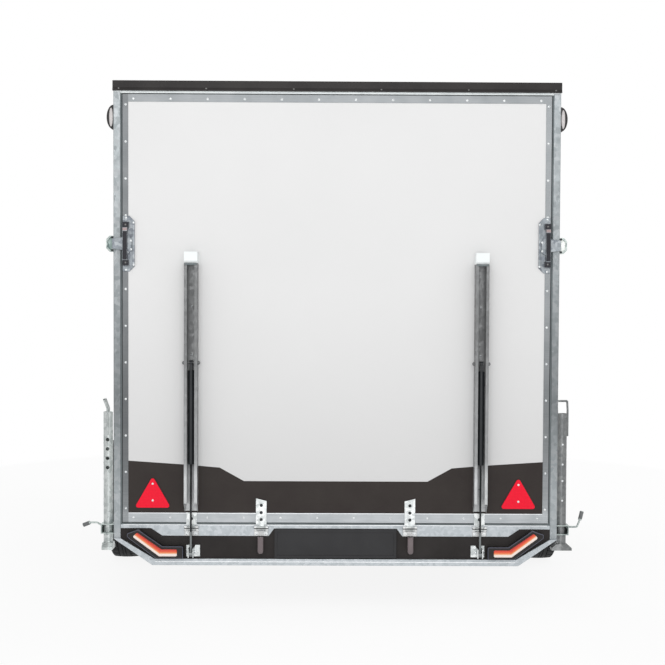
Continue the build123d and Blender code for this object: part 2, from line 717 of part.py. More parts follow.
# ---------------------------------------------------------------- lamps, plate holder and brackets
PLATE_HALF = 286
PLATE_BOTTOM = 234
PLATE_TOP_GAP = 2
PLATE_DEPTH = 12
PLATE_RIM = 12
PLATE_RECESS = 3
with BuildPart() as number_plate_holder:
    plate_top = SILL_TOP - SILL_SHALLOW_DROP - PLATE_TOP_GAP
    plate_rear = BOARD_REAR - PLATE_DEPTH
    box_between((-PLATE_HALF, PLATE_HALF), (plate_rear, BOARD_REAR), (PLATE_BOTTOM, plate_top))
    box_between(
        (-PLATE_HALF + PLATE_RIM, PLATE_HALF - PLATE_RIM),
        (plate_rear, plate_rear + PLATE_RECESS),
        (PLATE_BOTTOM + PLATE_RIM, plate_top - PLATE_RIM),
        mode=Mode.SUBTRACT,
    )
save(number_plate_holder.part, "number_plate_holder")

PLATE_LAMP_HALF = 351
PLATE_LAMP_WIDTH = 26
PLATE_LAMP_BOTTOM = 257
PLATE_LAMP_HEIGHT = 78
PLATE_LAMP_DEPTH = 36
with BuildPart() as plate_lamps:
    for side in SIDES.values():
        box_between(
            sided(side, PLATE_LAMP_HALF - PLATE_LAMP_WIDTH / 2, PLATE_LAMP_HALF + PLATE_LAMP_WIDTH / 2),
            (BOARD_REAR - PLATE_LAMP_DEPTH, BOARD_REAR),
            (PLATE_LAMP_BOTTOM, PLATE_LAMP_BOTTOM + PLATE_LAMP_HEIGHT),
        )
    fillet(plate_lamps.edges().filter_by(Axis.Y).group_by(Axis.Z)[0], PLATE_LAMP_WIDTH / 2 - 1)
    chamfer(plate_lamps.faces().filter_by(Axis.Y).group_by(Axis.Y)[0].edges(), 3)
save(plate_lamps.part, "plate_lamps")

LAMP_TO_BRACKET = 13
LAMP_INNER_END = CHANNEL_HALF + STRUT_BRACKET_OUTWARD + LAMP_TO_BRACKET
LAMP_BOTTOM = 233
LAMP_FOOT_HEIGHT = 59
LAMP_FOOT_LENGTH = 124
LAMP_ARM_LENGTH = 96
LAMP_TIP = 973
LAMP_TIP_HEIGHT = 17
LAMP_TIP_SLANT = 52
LAMP_TIP_RISE = 102
LAMP_TOP_RISE = 137
LAMP_CORNER = 7
LAMP_EDGE = 3
LAMP_DEPTH = 42
LENS_DEPTH = 6
LENS_INSET = 13
LENS_INNER_INSET = 28
lamp_foot_top = LAMP_BOTTOM + LAMP_FOOT_HEIGHT
lamp_tip_bottom = LAMP_BOTTOM + LAMP_TIP_RISE
housing_outline = (
    (LAMP_TIP - LAMP_TIP_SLANT, LAMP_BOTTOM + LAMP_TOP_RISE),
    (LAMP_INNER_END + LAMP_ARM_LENGTH, lamp_foot_top),
    (LAMP_INNER_END, lamp_foot_top),
    (LAMP_INNER_END, LAMP_BOTTOM),
    (LAMP_INNER_END + LAMP_FOOT_LENGTH, LAMP_BOTTOM),
    (LAMP_TIP, lamp_tip_bottom),
    (LAMP_TIP, lamp_tip_bottom + LAMP_TIP_HEIGHT),
)
lens_outline = (
    (LAMP_TIP - LAMP_TIP_SLANT + LENS_INSET / 3, LAMP_BOTTOM + LAMP_TOP_RISE - LENS_INSET),
    (LAMP_INNER_END + LAMP_ARM_LENGTH + LENS_INSET / 3, lamp_foot_top - LENS_INSET),
    (LAMP_INNER_END + LENS_INNER_INSET, lamp_foot_top - LENS_INSET),
    (LAMP_INNER_END + LENS_INNER_INSET, LAMP_BOTTOM + LENS_INSET),
    (LAMP_INNER_END + LAMP_FOOT_LENGTH - LENS_INSET, LAMP_BOTTOM + LENS_INSET),
    (LAMP_TIP - 2 * LENS_INSET, lamp_tip_bottom + LENS_INSET / 6),
)


def lamp_pair(outline, back, depth):
    """Rounded prisms of one outline on both sides, from a distance ahead towards the rear."""
    with BuildPart() as body:
        with BuildSketch(Plane.XZ.offset(-ahead(back))) as face:
            with BuildLine():
                Polyline(*outline, close=True)
            make_face()
            fillet(face.vertices(), LAMP_CORNER)
        extrude(amount=depth)
        chamfer(body.faces().sort_by(Axis.Y)[0].edges(), LAMP_EDGE)
        mirror(about=Plane.YZ)
    return body.part


save(lamp_pair(housing_outline, BOARD_REAR, LAMP_DEPTH), "rear_lamp_housings")
save(lamp_pair(lens_outline, BOARD_REAR - LAMP_DEPTH, LENS_DEPTH), "rear_lamp_lenses")

OUTLINE_LAMP_CENTRE = 2289
OUTLINE_LAMP_HALF = 57
OUTLINE_LAMP_REACH = 32
OUTLINE_LAMP_DEPTH = 40
OUTLINE_LAMP_SETBACK = 6
with BuildPart() as outline_lamps:
    with BuildSketch(Plane.XZ.offset(-ahead(OUTLINE_LAMP_SETBACK + OUTLINE_LAMP_DEPTH))):
        with Locations((POST_OUTER, OUTLINE_LAMP_CENTRE)):
            Ellipse(OUTLINE_LAMP_REACH, OUTLINE_LAMP_HALF)
            Rectangle(
                2 * OUTLINE_LAMP_REACH,
                2 * OUTLINE_LAMP_HALF,
                align=(Align.MAX, Align.CENTER),
                mode=Mode.SUBTRACT,
            )
    extrude(amount=OUTLINE_LAMP_DEPTH)
    mirror(about=Plane.YZ)
save(outline_lamps.part, "outline_lamps")

MARKER_LENGTH = 100
MARKER_HEIGHT = 40
MARKER_DEPTH = 18
MARKER_BOTTOM = 452
MARKER_END_DISTANCE = 450
MARKER_FRONT_DISTANCES = (1150, 200)
FRONT_MARKER_HALF = 955
FRONT_MARKER_WIDTH = 50
FRONT_MARKER_BOTTOM = 560
FRONT_MARKER_HEIGHT = 80
FRONT_MARKER_DEPTH = 22
front_marker_inner = FRONT_MARKER_HALF - FRONT_MARKER_WIDTH / 2
marker_places = [MARKER_END_DISTANCE, *(BODY_LENGTH - distance for distance in MARKER_FRONT_DISTANCES)]
with BuildPart() as marker_lamps:
    for side in SIDES.values():
        for marker_ahead in marker_places:
            box_between(
                sided(side, WALL_OUTER, WALL_OUTER + MARKER_DEPTH),
                (marker_ahead - MARKER_LENGTH / 2, marker_ahead + MARKER_LENGTH / 2),
                (MARKER_BOTTOM, MARKER_BOTTOM + MARKER_HEIGHT),
            )
        box_between(
            sided(side, front_marker_inner, front_marker_inner + FRONT_MARKER_WIDTH),
            (FRONT_WALL_OUTER, FRONT_WALL_OUTER + FRONT_MARKER_DEPTH),
            (FRONT_MARKER_BOTTOM, FRONT_MARKER_BOTTOM + FRONT_MARKER_HEIGHT),
        )
    fillet(marker_lamps.edges().filter_by(Axis.X), MARKER_HEIGHT / 5)
save(marker_lamps.part, "marker_lamps")

HINGE_HALVES = [side * half for half in (HINGE_INNER_HALF, CHANNEL_HALF) for side in SIDES.values()]
hinge_behind = -HINGE_AXIS_BEHIND
with BuildPart() as hinge_lower_leaves:
    leaf_rear = SILL_REAR - HINGE_LEAF_THICKNESS
    leaf_top = HINGE_AXIS_HEIGHT - HINGE_KNUCKLE_RADIUS - 3
    leaf_half = HINGE_LEAF_WIDTH / 2
    roll_edge = HINGE_ROLL_WIDTH / 2 + HINGE_ROLL_GAP
    for x in HINGE_HALVES:
        box_between((x - leaf_half, x + leaf_half), (leaf_rear, SILL_REAR), (HINGE_LEAF_BOTTOM, leaf_top))
        for low, high in ((x - leaf_half, x - roll_edge), (x + roll_edge, x + leaf_half)):
            box_between((low, high), (leaf_rear, SILL_REAR), (HINGE_LEAF_BOTTOM, HINGE_AXIS_HEIGHT))
            along_x((low, high), hinge_behind, HINGE_AXIS_HEIGHT, HINGE_KNUCKLE_RADIUS)
        along_x((x - leaf_half, x + leaf_half), hinge_behind, HINGE_AXIS_HEIGHT, HINGE_PIN_RADIUS)
save(hinge_lower_leaves.part, "hinge_lower_leaves")

STRUT_NOTCH_DEPTH = 23
strut_bracket_top = STRUT_BRACKET_BOTTOM + STRUT_BRACKET_HEIGHT
with BuildPart() as strut_brackets:
    ear_inner = STRUT_EYE_WIDTH / 2 + STRUT_EAR_GAP
    ear_outer = ear_inner + STRUT_EAR
    outer_x = CHANNEL_HALF + STRUT_BRACKET_OUTWARD
    inner_x = CHANNEL_HALF - STRUT_BRACKET_INWARD
    with BuildSketch(Plane.XZ.offset(-ahead(BOARD_REAR))):
        with BuildLine():
            Polyline(
                (inner_x, STRUT_BRACKET_BOTTOM),
                (outer_x, STRUT_BRACKET_BOTTOM),
                (outer_x, strut_bracket_top),
                (CHANNEL_HALF + ear_inner, strut_bracket_top),
                (CHANNEL_HALF + ear_inner, strut_bracket_top - STRUT_NOTCH_DEPTH),
                (CHANNEL_HALF - ear_inner, strut_bracket_top - STRUT_NOTCH_DEPTH),
                (CHANNEL_HALF - 2 * ear_inner, strut_bracket_top),
                (inner_x, strut_bracket_top),
                close=True,
            )
        make_face()
    extrude(amount=STRUT_BRACKET_PLATE)
    for way in (-1, 1):
        box_between(
            sorted((CHANNEL_HALF + way * ear_inner, CHANNEL_HALF + way * ear_outer)),
            (-STRUT_EYE_BEHIND - STRUT_EYE_RADIUS - 3, BOARD_REAR - STRUT_BRACKET_PLATE),
            (STRUT_BRACKET_BOTTOM, STRUT_BRACKET_BOTTOM + STRUT_EAR_HEIGHT),
        )
    mirror(about=Plane.YZ)
save(strut_brackets.part, "strut_brackets")

LATCH_CENTRE = 1702
KEEPER_HEIGHT = 74
KEEPER_REACH = 34
KEEPER_CORNER = 16
KEEPER_DEPTH = 36
KEEPER_STRAP = 6
with BuildPart() as latch_keepers:
    with BuildSketch(Plane.XZ.offset(-ahead(KEEPER_DEPTH))):
        for shrink, mode in ((0, Mode.ADD), (KEEPER_STRAP, Mode.SUBTRACT)):
            inner_x = POST_OUTER + shrink
            outer_x = POST_OUTER + KEEPER_REACH - shrink
            half_height = KEEPER_HEIGHT / 2 - shrink
            with BuildLine():
                Polyline(
                    (inner_x, LATCH_CENTRE - half_height),
                    (outer_x - KEEPER_CORNER, LATCH_CENTRE - half_height),
                    (outer_x, LATCH_CENTRE - half_height + KEEPER_CORNER),
                    (outer_x, LATCH_CENTRE + half_height - KEEPER_CORNER),
                    (outer_x - KEEPER_CORNER, LATCH_CENTRE + half_height),
                    (inner_x, LATCH_CENTRE + half_height),
                    close=True,
                )
            make_face(mode=mode)
    extrude(amount=KEEPER_DEPTH)
    mirror(about=Plane.YZ)
save(latch_keepers.part, "latch_keepers")

# ---------------------------------------------------------------- steady legs and jockey wheel
leg_bore = LEG_RADIUS + TRACE_CLEARANCE
clamp_end = LEG_HALF + CLAMP_REACH
clamp_top = CLAMP_BOTTOM + CLAMP_HEIGHT
lever_height = CLAMP_CENTRE_HEIGHT + CLAMP_HEIGHT / 4
# Each lever: its bends and its grip's end, as (outward from the clamp's end, up from the screw).
CLAMP_LEVERS = {
    "left": (((0, 0), (22, 14), (56, 14)), (90, 0)),
    "right": (((0, 0), (44, 0), (58, 34)), (68, 76)),
}
with BuildPart() as leg_clamps:
    for name, side in SIDES.items():
        depth = (LEG_AHEAD - CLAMP_DEPTH / 2, LEG_AHEAD + CLAMP_DEPTH / 2)
        box_between(sided(side, WALL_OUTER, clamp_end), depth, (CLAMP_BOTTOM, clamp_top))
        box_between(
            sided(side, WALL_OUTER + CLAMP_PLATE, clamp_end - CLAMP_PLATE),
            depth,
            (CLAMP_BOTTOM + CLAMP_PLATE, clamp_top - CLAMP_PLATE),
            mode=Mode.SUBTRACT,
        )
        with Locations((side * LEG_HALF, ahead(LEG_AHEAD), CLAMP_BOTTOM)):
            Cylinder(
                leg_bore, CLAMP_HEIGHT, align=(Align.CENTER, Align.CENTER, Align.MIN), mode=Mode.SUBTRACT
            )
        bends, grip_end = CLAMP_LEVERS[name]
        along_x((side * (LEG_HALF + leg_bore), side * (clamp_end + 1)), LEG_AHEAD, lever_height, 8)
        lever = [(side * (clamp_end + out), LEG_AHEAD, lever_height + up) for out, up in (*bends, grip_end)]
        bent_rod([spot(*place) for place in lever], CLAMP_ROD_RADIUS)
        rod_between(lever[-2], lever[-1], CLAMP_GRIP_RADIUS)
save(leg_clamps.part, "leg_clamps")


def steady_leg(x, turn):
    """A drilled tube with a skid foot and a wire bail, both along x before the turn about the tube."""
    length = LEG_TOP - LEG_BOTTOM
    upright = (Align.CENTER, Align.CENTER, Align.MIN)
    with BuildPart() as leg:
        with Locations((0, 0, LEG_FOOT_EDGE)):
            Cylinder(LEG_RADIUS, length - LEG_FOOT_EDGE, align=upright)
        with Locations((0, 0, LEG_FOOT_HEIGHT)):
            Cylinder(LEG_RADIUS - LEG_WALL, length - LEG_FOOT_HEIGHT, align=upright, mode=Mode.SUBTRACT)
        for i in range(LEG_HOLE_COUNT):
            with Locations((0, 0, length - LEG_TOP_HOLE - i * LEG_HOLE_PITCH)):
                Cylinder(LEG_HOLE_RADIUS, 4 * LEG_RADIUS, rotation=(0, 90, 0), mode=Mode.SUBTRACT)
        with BuildSketch(Plane.XZ):
            with BuildLine():
                Polyline(
                    (-LEG_FOOT_LENGTH / 2, 0),
                    (LEG_FOOT_LENGTH / 2, 0),
                    (LEG_FOOT_LENGTH / 2, LEG_FOOT_EDGE),
                    (LEG_FOOT_TOP_LENGTH / 2, LEG_FOOT_HEIGHT),
                    (-LEG_FOOT_TOP_LENGTH / 2, LEG_FOOT_HEIGHT),
                    (-LEG_FOOT_LENGTH / 2, LEG_FOOT_EDGE),
                    close=True,
                )
            make_face()
        extrude(amount=LEG_FOOT_WIDTH / 2, both=True)
        reach = LEG_RADIUS + BAIL_RADIUS - 2
        bail_top = length + BAIL_RISE - BAIL_RADIUS
        half_bail = [(length - BAIL_WELD, 0), (length + BAIL_LEAN, 0), (bail_top, BAIL_LEAN)]
        bail = [Vector(-reach, lean, up) for up, lean in half_bail]
        bail += [Vector(reach, lean, up) for up, lean in reversed(half_bail)]
        bent_rod(bail, BAIL_RADIUS)
    return leg.part.moved(Location((x, ahead(LEG_AHEAD), LEG_BOTTOM), (0, 0, turn)))


save(steady_leg(-LEG_HALF, 90), "leg_left")
save(steady_leg(LEG_HALF, 0), "leg_right")

JOCKEY_BASE = 8
JOCKEY_CLAMP_HEIGHT = 60
JOCKEY_CLAMP_RADIUS = 34
JOCKEY_BASE_DEPTH = 60
JOCKEY_GUSSET = 24
JOCKEY_SCREW_REACH = 70
JOCKEY_TOGGLE_LENGTH = 90
JOCKEY_TOGGLE = 14
jockey_clamp_bottom = arm_top + JOCKEY_BASE
with BuildPart() as jockey_clamp:
    box_between(
        (-JOCKEY_HALF, -ARM_HALF_AT_JOCKEY + DRAWBAR_ARM_WIDTH / 3),
        (JOCKEY_AHEAD - JOCKEY_BASE_DEPTH / 2, JOCKEY_AHEAD + JOCKEY_BASE_DEPTH / 2),
        (arm_top, jockey_clamp_bottom),
    )
    box_between(
        (-JOCKEY_HALF, -ARM_HALF_AT_JOCKEY - DRAWBAR_ARM_WIDTH / 6),
        (JOCKEY_AHEAD - JOCKEY_GUSSET / 2, JOCKEY_AHEAD + JOCKEY_GUSSET / 2),
        (arm_top, jockey_clamp_bottom + JOCKEY_CLAMP_HEIGHT),
    )
    with Locations((-JOCKEY_HALF, ahead(JOCKEY_AHEAD), arm_top)):
        for radius, mode in ((JOCKEY_CLAMP_RADIUS, Mode.ADD), (JOCKEY_TUBE_RADIUS, Mode.SUBTRACT)):
            Cylinder(
                radius,
                JOCKEY_CLAMP_HEIGHT + JOCKEY_BASE,
                align=(Align.CENTER, Align.CENTER, Align.MIN),
                mode=mode,
            )
    screw_end = -JOCKEY_HALF - JOCKEY_SCREW_REACH
    screw_z = jockey_clamp_bottom + JOCKEY_CLAMP_HEIGHT / 2
    along_x((screw_end, -JOCKEY_HALF - JOCKEY_CLAMP_RADIUS + 4), JOCKEY_AHEAD, screw_z, 7)
    rod_between(
        (screw_end, JOCKEY_AHEAD - JOCKEY_TOGGLE_LENGTH / 2, screw_z),
        (screw_end, JOCKEY_AHEAD + JOCKEY_TOGGLE_LENGTH / 2, screw_z),
        JOCKEY_TOGGLE / 2 + 1,
    )
save(jockey_clamp.part, "jockey_clamp")

JOCKEY_TUBE_BOTTOM = 336
JOCKEY_TUBE_TOP = 760
JOCKEY_TUBE_END = 20
JOCKEY_SWIVEL_HEIGHT = 236
JOCKEY_INNER_LENGTH = 330
JOCKEY_INNER_RADIUS = 18
CRANK_RISE = 16
CRANK_ARM = 113
CRANK_GRIP = 75
with BuildPart() as jockey_tube:
    tube_length = JOCKEY_TUBE_TOP - JOCKEY_TUBE_BOTTOM
    with Locations((-JOCKEY_HALF, ahead(JOCKEY_AHEAD), JOCKEY_TUBE_BOTTOM)):
        Cylinder(JOCKEY_TUBE_RADIUS, tube_length, align=(Align.CENTER, Align.CENTER, Align.MIN))
        Cylinder(
            JOCKEY_INNER_RADIUS + SLIDING_CLEARANCE,
            tube_length - JOCKEY_TUBE_END,
            align=(Align.CENTER, Align.CENTER, Align.MIN),
            mode=Mode.SUBTRACT,
        )
    crank_z = JOCKEY_TUBE_TOP + CRANK_RISE
    grip_ahead = JOCKEY_AHEAD - CRANK_ARM
    bent_rod(
        [
            spot(-JOCKEY_HALF, JOCKEY_AHEAD, JOCKEY_TUBE_TOP - 1),
            spot(-JOCKEY_HALF, JOCKEY_AHEAD, crank_z),
            spot(-JOCKEY_HALF, grip_ahead, crank_z),
            spot(-JOCKEY_HALF, grip_ahead, crank_z + CRANK_GRIP),
        ],
        7,
    )
    grip = [(-JOCKEY_HALF, grip_ahead, crank_z + rise) for rise in (10, CRANK_GRIP)]
    rod_between(*grip, 12)
save(jockey_tube.part, "jockey_tube")

with BuildPart() as jockey_inner:
    with Locations((-JOCKEY_HALF, ahead(JOCKEY_AHEAD), JOCKEY_SWIVEL_HEIGHT)):
        Cylinder(JOCKEY_INNER_RADIUS, JOCKEY_INNER_LENGTH, align=(Align.CENTER, Align.CENTER, Align.MIN))
save(jockey_inner.part, "jockey_inner")

JOCKEY_FORK_GAP = 5
JOCKEY_FORK_SHEET = 4
JOCKEY_FORK_CROWN = 8
JOCKEY_CHEEK = 44
JOCKEY_AXLE_RADIUS = 8
fork_inner = JOCKEY_WHEEL_WIDTH / 2 + JOCKEY_FORK_GAP
fork_outer = fork_inner + JOCKEY_FORK_SHEET
fork_crown_bottom = JOCKEY_SWIVEL_HEIGHT - JOCKEY_FORK_CROWN
axle_ahead = JOCKEY_AHEAD - JOCKEY_TRAIL
with BuildPart() as jockey_fork:
    fork_x = (-JOCKEY_HALF - fork_outer, -JOCKEY_HALF + fork_outer)
    box_between(
        fork_x,
        (axle_ahead - JOCKEY_CHEEK / 2, JOCKEY_AHEAD + JOCKEY_TUBE_RADIUS),
        (fork_crown_bottom, JOCKEY_SWIVEL_HEIGHT - TRACE_CLEARANCE),
    )
    for way in (-1, 1):
        cheek = sorted((-JOCKEY_HALF + way * fork_inner, -JOCKEY_HALF + way * fork_outer))
        box_between(
            cheek,
            (axle_ahead - JOCKEY_CHEEK / 2, axle_ahead + JOCKEY_CHEEK / 2),
            (JOCKEY_WHEEL_RADIUS, fork_crown_bottom),
        )
        along_x(cheek, axle_ahead, JOCKEY_WHEEL_RADIUS, JOCKEY_CHEEK / 2)
    along_x(fork_x, axle_ahead, JOCKEY_WHEEL_RADIUS, JOCKEY_AXLE_RADIUS)
save(jockey_fork.part, "jockey_fork")

JOCKEY_WHEEL_ROUND = 12
JOCKEY_WHEEL_EASE = 3.5
JOCKEY_HUB_RADIUS = 32
JOCKEY_HUB_LAP = 2
with BuildPart() as jockey_wheel:
    wheel_half = JOCKEY_WHEEL_WIDTH / 2
    wheel_edge = [
        (wheel_half, JOCKEY_HUB_RADIUS - JOCKEY_HUB_LAP),
        (wheel_half, JOCKEY_WHEEL_RADIUS - JOCKEY_WHEEL_ROUND),
        (wheel_half - JOCKEY_WHEEL_EASE, JOCKEY_WHEEL_RADIUS - JOCKEY_WHEEL_EASE),
        (wheel_half - JOCKEY_WHEEL_ROUND, JOCKEY_WHEEL_RADIUS),
    ]
    wheel_place = Location(spot(-JOCKEY_HALF, axle_ahead, JOCKEY_WHEEL_RADIUS))
    wheel_ring = faceted_ring([(-place, radius) for place, radius in wheel_edge] + wheel_edge[::-1])
    add(wheel_ring.moved(wheel_place))
    wheel_x = (-JOCKEY_HALF - wheel_half, -JOCKEY_HALF + wheel_half)
    along_x(wheel_x, axle_ahead, JOCKEY_WHEEL_RADIUS, JOCKEY_HUB_RADIUS)
    bore_radius = JOCKEY_AXLE_RADIUS + SLIDING_CLEARANCE
    along_x(wheel_x, axle_ahead, JOCKEY_WHEEL_RADIUS, bore_radius, mode=Mode.SUBTRACT)
save(jockey_wheel.part, "jockey_wheel")

# ---------------------------------------------------------------- ramp door and what it carries
half_ramp = RAMP_WIDTH / 2
panel_half = half_ramp - RAMP_FRAME_SIDE
panel_z = (RAMP_BOTTOM + RAMP_FRAME_BOTTOM, RAMP_TOP - RAMP_FRAME_TOP)
with BuildPart() as ramp_panel:
    box_between((-panel_half, panel_half), (0, RAMP_THICKNESS), panel_z)
save(ramp_panel.part, "ramp_panel")

ramp_y = (-RAMP_FRAME_PROUD, RAMP_THICKNESS + RAMP_FRAME_PROUD)
with BuildPart() as ramp_frame:
    box_between((-half_ramp, half_ramp), ramp_y, (RAMP_BOTTOM, RAMP_TOP))
    box_between((-panel_half, panel_half), ramp_y, panel_z, mode=Mode.SUBTRACT)
    chamfer(ramp_frame.faces().sort_by(Axis.Y)[0].outer_wire().edges(), RAMP_FRAME_CHAMFER)
save(ramp_frame.part, "ramp_frame")

CHANNEL_CHAMFER = 42
PIVOT_BOLT_REACH = 42
PIVOT_NUT_RADIUS = 8
PIVOT_NUT_LENGTH = 8
CAP_CHAMFER = 12
with BuildPart() as ramp_channels:
    for side in SIDES.values():
        x = side * CHANNEL_HALF
        half = CHANNEL_WIDTH / 2
        slot = half - CHANNEL_LIP
        outer_x = (x - half, x + half)
        box_between(outer_x, (-CHANNEL_DEPTH, 0), (CHANNEL_BOTTOM, CHANNEL_TOP))
        box_between(
            (x - half + CHANNEL_WALL, x + half - CHANNEL_WALL),
            (-CHANNEL_DEPTH + CHANNEL_WALL, -CHANNEL_WALL),
            (CHANNEL_BOTTOM, CHANNEL_TOP),
            mode=Mode.SUBTRACT,
        )
        box_between(
            (x - slot, x + slot),
            (-CHANNEL_DEPTH, -CHANNEL_DEPTH + CHANNEL_WALL),
            (CHANNEL_BOTTOM, CHANNEL_TOP),
            mode=Mode.SUBTRACT,
        )
        with BuildSketch(Plane.YZ.offset(x - half)):
            with BuildLine():
                Polyline(
                    (ahead(-CHANNEL_DEPTH), CHANNEL_BOTTOM),
                    (ahead(-CHANNEL_DEPTH + CHANNEL_CHAMFER), CHANNEL_BOTTOM),
                    (ahead(-CHANNEL_DEPTH), CHANNEL_BOTTOM + CHANNEL_CHAMFER),
                    close=True,
                )
            make_face()
        extrude(amount=CHANNEL_WIDTH, mode=Mode.SUBTRACT)
        bolt = (x - PIVOT_BOLT_REACH, x + PIVOT_BOLT_REACH)
        along_x(bolt, -STRUT_TOP_BEHIND, STRUT_TOP_HEIGHT, STRUT_PIN_RADIUS)
        for way in (-1, 1):
            nut = (x + way * half, x + way * (half + PIVOT_NUT_LENGTH))
            along_x(nut, -STRUT_TOP_BEHIND, STRUT_TOP_HEIGHT, PIVOT_NUT_RADIUS)
save(ramp_channels.part, "ramp_channels")

with BuildPart() as channel_caps:
    for side in SIDES.values():
        x = side * CHANNEL_HALF
        box_between(
            (x - CHANNEL_WIDTH / 2, x + CHANNEL_WIDTH / 2),
            (-CHANNEL_DEPTH - CAP_PROUD, 0),
            (CHANNEL_TOP, CHANNEL_TOP + CAP_HEIGHT),
        )
    chamfer(channel_caps.edges().filter_by(Axis.X).group_by(Axis.Z)[0].group_by(Axis.Y)[0], CAP_CHAMFER)
save(channel_caps.part, "channel_caps")

STRAP_CHANNEL_GAP = 8
strap_rear = -RAMP_FRAME_PROUD - HINGE_LEAF_THICKNESS
strap_bottom = HINGE_AXIS_HEIGHT + HINGE_KNUCKLE_RADIUS + 4
with BuildPart() as hinge_upper_leaves:
    for x in HINGE_HALVES:
        outward = math.copysign(HINGE_STRAP_WIDTH / 2, x)
        if abs(x) < CHANNEL_HALF:
            strap_top = strap_bottom + HINGE_STRAP_LENGTH
            slant = HINGE_STRAP_SLANT
        else:
            strap_top = CHANNEL_BOTTOM - STRAP_CHANNEL_GAP
            slant = 0
        with BuildSketch(Plane.XZ.offset(-ahead(-RAMP_FRAME_PROUD))):
            with BuildLine():
                Polyline(
                    (x - outward, strap_bottom),
                    (x + outward, strap_bottom),
                    (x + outward, strap_top + slant),
                    (x - outward, strap_top),
                    close=True,
                )
            make_face()
        extrude(amount=HINGE_LEAF_THICKNESS)
        pin_bore = HINGE_PIN_RADIUS + SLIDING_CLEARANCE
        neck = (x - HINGE_NECK_WIDTH / 2, x + HINGE_NECK_WIDTH / 2)
        box_between(neck, (strap_rear, -RAMP_FRAME_PROUD - 2), (HINGE_AXIS_HEIGHT, strap_bottom))
        roll = (x - HINGE_ROLL_WIDTH / 2, x + HINGE_ROLL_WIDTH / 2)
        along_x(roll, hinge_behind, HINGE_AXIS_HEIGHT, HINGE_KNUCKLE_RADIUS)
        along_x(roll, hinge_behind, HINGE_AXIS_HEIGHT, pin_bore, mode=Mode.SUBTRACT)
        box_between(
            roll,
            (hinge_behind - 2 * HINGE_KNUCKLE_RADIUS, hinge_behind),
            (HINGE_AXIS_HEIGHT - HINGE_ROLL_SEAM / 2, HINGE_AXIS_HEIGHT + HINGE_ROLL_SEAM / 2),
            mode=Mode.SUBTRACT,
        )
save(hinge_upper_leaves.part, "hinge_upper_leaves")

LATCH_HEIGHT = 258
LATCH_PLATE_WIDTH = 55
LATCH_EDGE_GAP = 4
LATCH_CHAMFER = 24
LATCH_PLATE = 3
LATCH_STRIP_WIDTH = 9
LATCH_STRIP_PROUD = 5
LATCH_BLOCK_WIDTH = 29
LATCH_BLOCK_HEIGHT = 26
LATCH_BLOCK_DEPTH = 18
LATCH_BLOCK_OFFSET = 88
LATCH_LEVER_WIDTH = 22
LATCH_LEVER_DEPTH = 14
LATCH_LEVER_LIFT = 4
LATCH_CAM_WIDTH = 20
LATCH_CAM_HEIGHT = 96
LATCH_ARM_DEPTH = 7
LATCH_ARM_ROOT_HEIGHT = 64
LATCH_ARM_TIP_HEIGHT = 46
LATCH_ARM_PAST_POST = 4
latch_face = -RAMP_FRAME_PROUD - LATCH_PLATE
latch_outer = half_ramp - LATCH_EDGE_GAP
latch_inner = latch_outer - LATCH_PLATE_WIDTH
